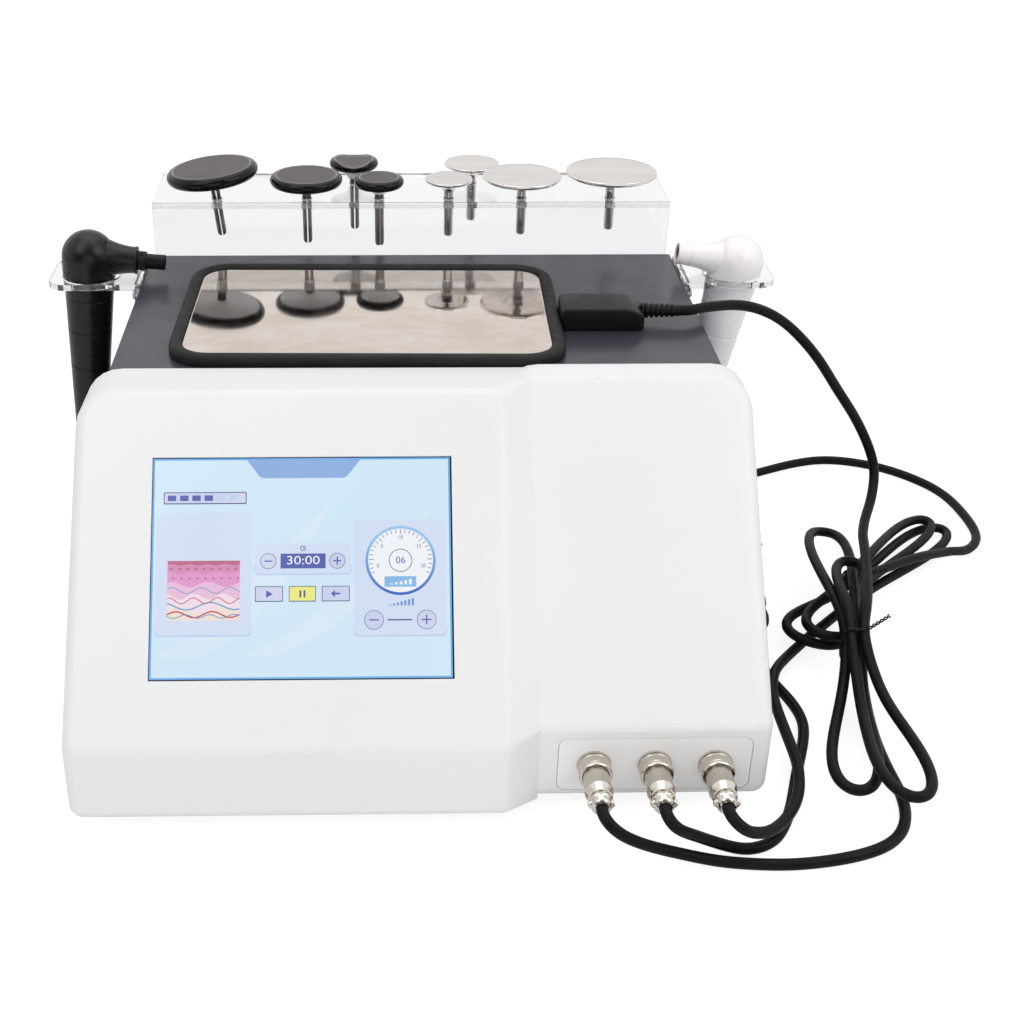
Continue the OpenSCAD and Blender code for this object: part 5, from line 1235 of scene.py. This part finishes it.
def draw_keys(p):
    """Three keys: start, pause and back."""
    for px0, px1, fill, sign in ((254, 282, "lilac", "start"), (288, 315, "yellow", "pause"),
                                 (321, 349, "lilac", "back")):
        left, low, right, high = screen_box(px0, 585.6, px1, 601.2)
        p.box(left, low, right, high, "ink", 0.5)
        p.up(THIN_STEP)
        p.box(left + 0.4, low + 0.5, right - 0.4, high - 0.4, fill, 0.4)
        p.up(THIN_STEP)
        x, v = (left + right) / 2, (low + high) / 2
        if sign == "start":
            p.add([(x - 1.5, v - 2), (x + 2, v), (x - 1.5, v + 2)], "slate")
        elif sign == "pause":
            for bar in (x - 1.1, x + 1.1):
                p.box(bar - 0.5, v - 1.9, bar + 0.5, v + 1.9, "ink")
        else:
            p.add([(x - 2.6, v), (x - 0.4, v + 2), (x - 0.4, v - 2)], "slate")
            p.box(x - 0.4, v - 0.5, x + 2.4, v + 0.5, "slate")
        p.up(-2 * THIN_STEP)


def draw_dial(p):
    """Dial with ticks, numbers and a graded ring, and two runs of rising bars under it."""
    x, v = screen_place(400.3, 560.6)
    r = 18.9
    z, span = FACE_FOOT + v * FACE_SIN, r * FACE_SIN

    def spoke(degrees, *radii):
        a = math.radians(degrees)
        return [(x + s * math.cos(a), v + s * math.sin(a)) for s in radii]

    p.disc(x, v, r, "white", 64)
    p.up(THIN_STEP)
    p.tones["ring"] = graded("lit_dial_ring", "3A68C4", "9CCBF4", z - span, z + span * 0.6)
    p.ring(x, v, r - 1.5, r, "ring", 64)
    for i in range(27):
        length = 4.6 if i % 5 == 3 else 3.8
        p.line(spoke(-24 + 228 * i / 26, r - length, r - 1.9), 0.38, "slate")
    for text, degrees in (("20", -14), ("15", 38), ("10", 90), ("5", 142), ("0", 194)):
        p.digits(text, *spoke(degrees, r - 6.4)[0], 2.9, "ink")
    p.ring(x, v, 5.9, 6.3, "ink", 40)
    p.digits("06", x, v, 5.4, "slate")
    left, low, right, high = screen_box(384, 576.5, 416, 587)
    p.box(left, low, right, high, "label", 0.5)
    p.up(THIN_STEP)
    for i in range(5):
        bar = left + 3.2 + i * 2.5
        p.box(bar, low + 1.2, bar + 1.4, low + 1.8 + i * 0.6, "white")
    x, v = screen_place(401, 602.5)
    for i in range(7):
        p.box(x - 6.5 + i * 2, v - 1.8, x - 5.4 + i * 2, v - 1.2 + i * 0.55, "blue")


def draw_tissue(p):
    """Plain layered picture: rolling bands with red and blue lines that run across them."""
    left, low, right, high = screen_box(167, 559.5, 238, 619.5)

    def rolling(base, height, waves, phase):
        return [(left + (right - left) * s,
                 low + (high - low) * (base + height * math.sin(math.tau * waves * s + phase)))
                for s in (i / 36 for i in range(37))]

    cuts = [(0.0, 0.0, 1, 0), (0.17, 0.035, 1.5, 0.4), (0.40, 0.05, 2.5, 2.0),
            (0.60, 0.045, 2.0, 0.8), (0.80, 0.02, 3.0, 1.2), (0.93, 0.012, 4.0, 0.2),
            (0.995, 0.0, 1, 0)]
    for band, (cut, over) in enumerate(zip(cuts, cuts[1:])):
        p.strip(rolling(*cut), rolling(*over), band)
    p.up(THIN_STEP)
    for *wave, width, tone in (
            (0.10, 0.05, 2, 0.0, 0.75, "red"), (0.24, 0.06, 1.5, 2.2, 0.65, "teal"),
            (0.33, 0.05, 3, 1.0, 0.45, "red"), (0.07, 0.03, 3, 3.0, 0.5, "teal"),
            (0.50, 0.05, 2.5, 0.5, 0.4, "teal")):
        p.line(rolling(*wave), width, tone)
    for i in range(9):
        x = left + (right - left) * (i + 0.5) / 9
        for share, aside, size in ((0.86, 0, 0.75), (0.70, 1.1, 0.6)):
            p.disc(x + aside, low + (high - low) * share, size, len(BANDS) - 1, 10)


def draw_screen():
    tones = {key: lit("lit_" + key, *of) for key, of in TONES.items()}
    tones.update((i, lit("lit_band_%d" % i, of, of)) for i, of in enumerate(BANDS))
    p = Picture("screen_picture", tones)
    for draw in (draw_ground, draw_level, draw_round_keys, draw_clock, draw_keys, draw_dial,
                 draw_tissue):
        draw(p)
    p.make()


draw_screen()


# Floor, light and background

FLOOR_HALF, FLOOR_WHITE, FLOOR_GLOW, GLOW_SHARE = 6, 0.93, 1.3, 0.65
# Metal sees a room this dim in front of the object; the rest takes this much light from it
ROOM_DIM, WORLD_LIGHT = 0.1, 0.5


def white_behind(tree):
    """The light path, and 1 on rays that show the white background."""
    path = add_node(tree, "LightPath").outputs
    return path, calc(tree, "MAXIMUM", path["Is Camera Ray"], path["Is Transmission Ray"])


def stage():
    s = FLOOR_HALF
    mesh = bpy.data.meshes.new("floor")
    mesh.from_pydata([(-s, -s, 0), (s, -s, 0), (s, s, 0), (-s, s, 0)], [], [(0, 1, 2, 3)])
    floor = link(bpy.data.objects.new("floor", mesh))
    m = bpy.data.materials.new("floor_paper")
    m.use_nodes = True
    tree = m.node_tree
    paper = feed(tree, tree.nodes["Principled BSDF"], {
        "Base Color": (FLOOR_WHITE, FLOOR_WHITE, FLOOR_WHITE, 1), "Roughness": 0.7})
    glow = add_node(tree, "Emission", Strength=FLOOR_GLOW)
    share = calc(tree, "MULTIPLY", white_behind(tree)[1], GLOW_SHARE)
    mix = feed(tree, add_node(tree, "MixShader"), {0: share, 1: paper.outputs[0],
                                                   2: glow.outputs[0]})
    feed(tree, tree.nodes["Material Output"], {0: mix.outputs[0]})
    floor.data.materials.append(m)


def world():
    """Even white light; metal also sees a dimmer room in front of the object."""
    w = bpy.data.worlds.new("studio")
    bpy.context.scene.world = w
    w.use_nodes = True
    tree = w.node_tree

    def mixed(fac, low, high, **limits):
        return add_node(tree, "MapRange", Value=fac, To_Min=low, To_Max=high, **limits).outputs[0]

    way = add_node(tree, "SeparateXYZ", Vector=add_node(tree, "TexCoord").outputs["Generated"])
    room = mixed(way.outputs["Y"], ROOM_DIM, 1.0, From_Min=-0.75, From_Max=-0.15)
    path, white = white_behind(tree)
    lit_by = mixed(path["Is Glossy Ray"], WORLD_LIGHT, room)
    feed(tree, tree.nodes["Background"], {"Strength": mixed(white, lit_by, 1.0),
                                          "Color": (1, 1, 1, 1)})


def lamp(name, at, aim, size, watts):
    data = bpy.data.lights.new(name, "AREA")
    data.energy, data.size = watts, size
    obj = link(bpy.data.objects.new(name, data))
    obj.location = at
    obj.rotation_mode = "QUATERNION"
    obj.rotation_quaternion = (Vector(aim) - Vector(at)).to_track_quat("-Z", "Y")


stage()
world()
lamp("key_light", (-0.9, -0.9, 1.6), (0, 0, 0.1), 1.2, 7.3)
lamp("fill_light", (1.2, -0.7, 1.3), (0, 0, 0.1), 1.2, 7)
lamp("front_light", (0.1, -1.9, 0.45), (0, 0, 0.08), 1.4, 5)
lamp("top_light", (0, 0.4, 1.9), (0, 0, 0.1), 1.6, 9)

bpy.context.scene.view_settings.view_transform = "Standard"
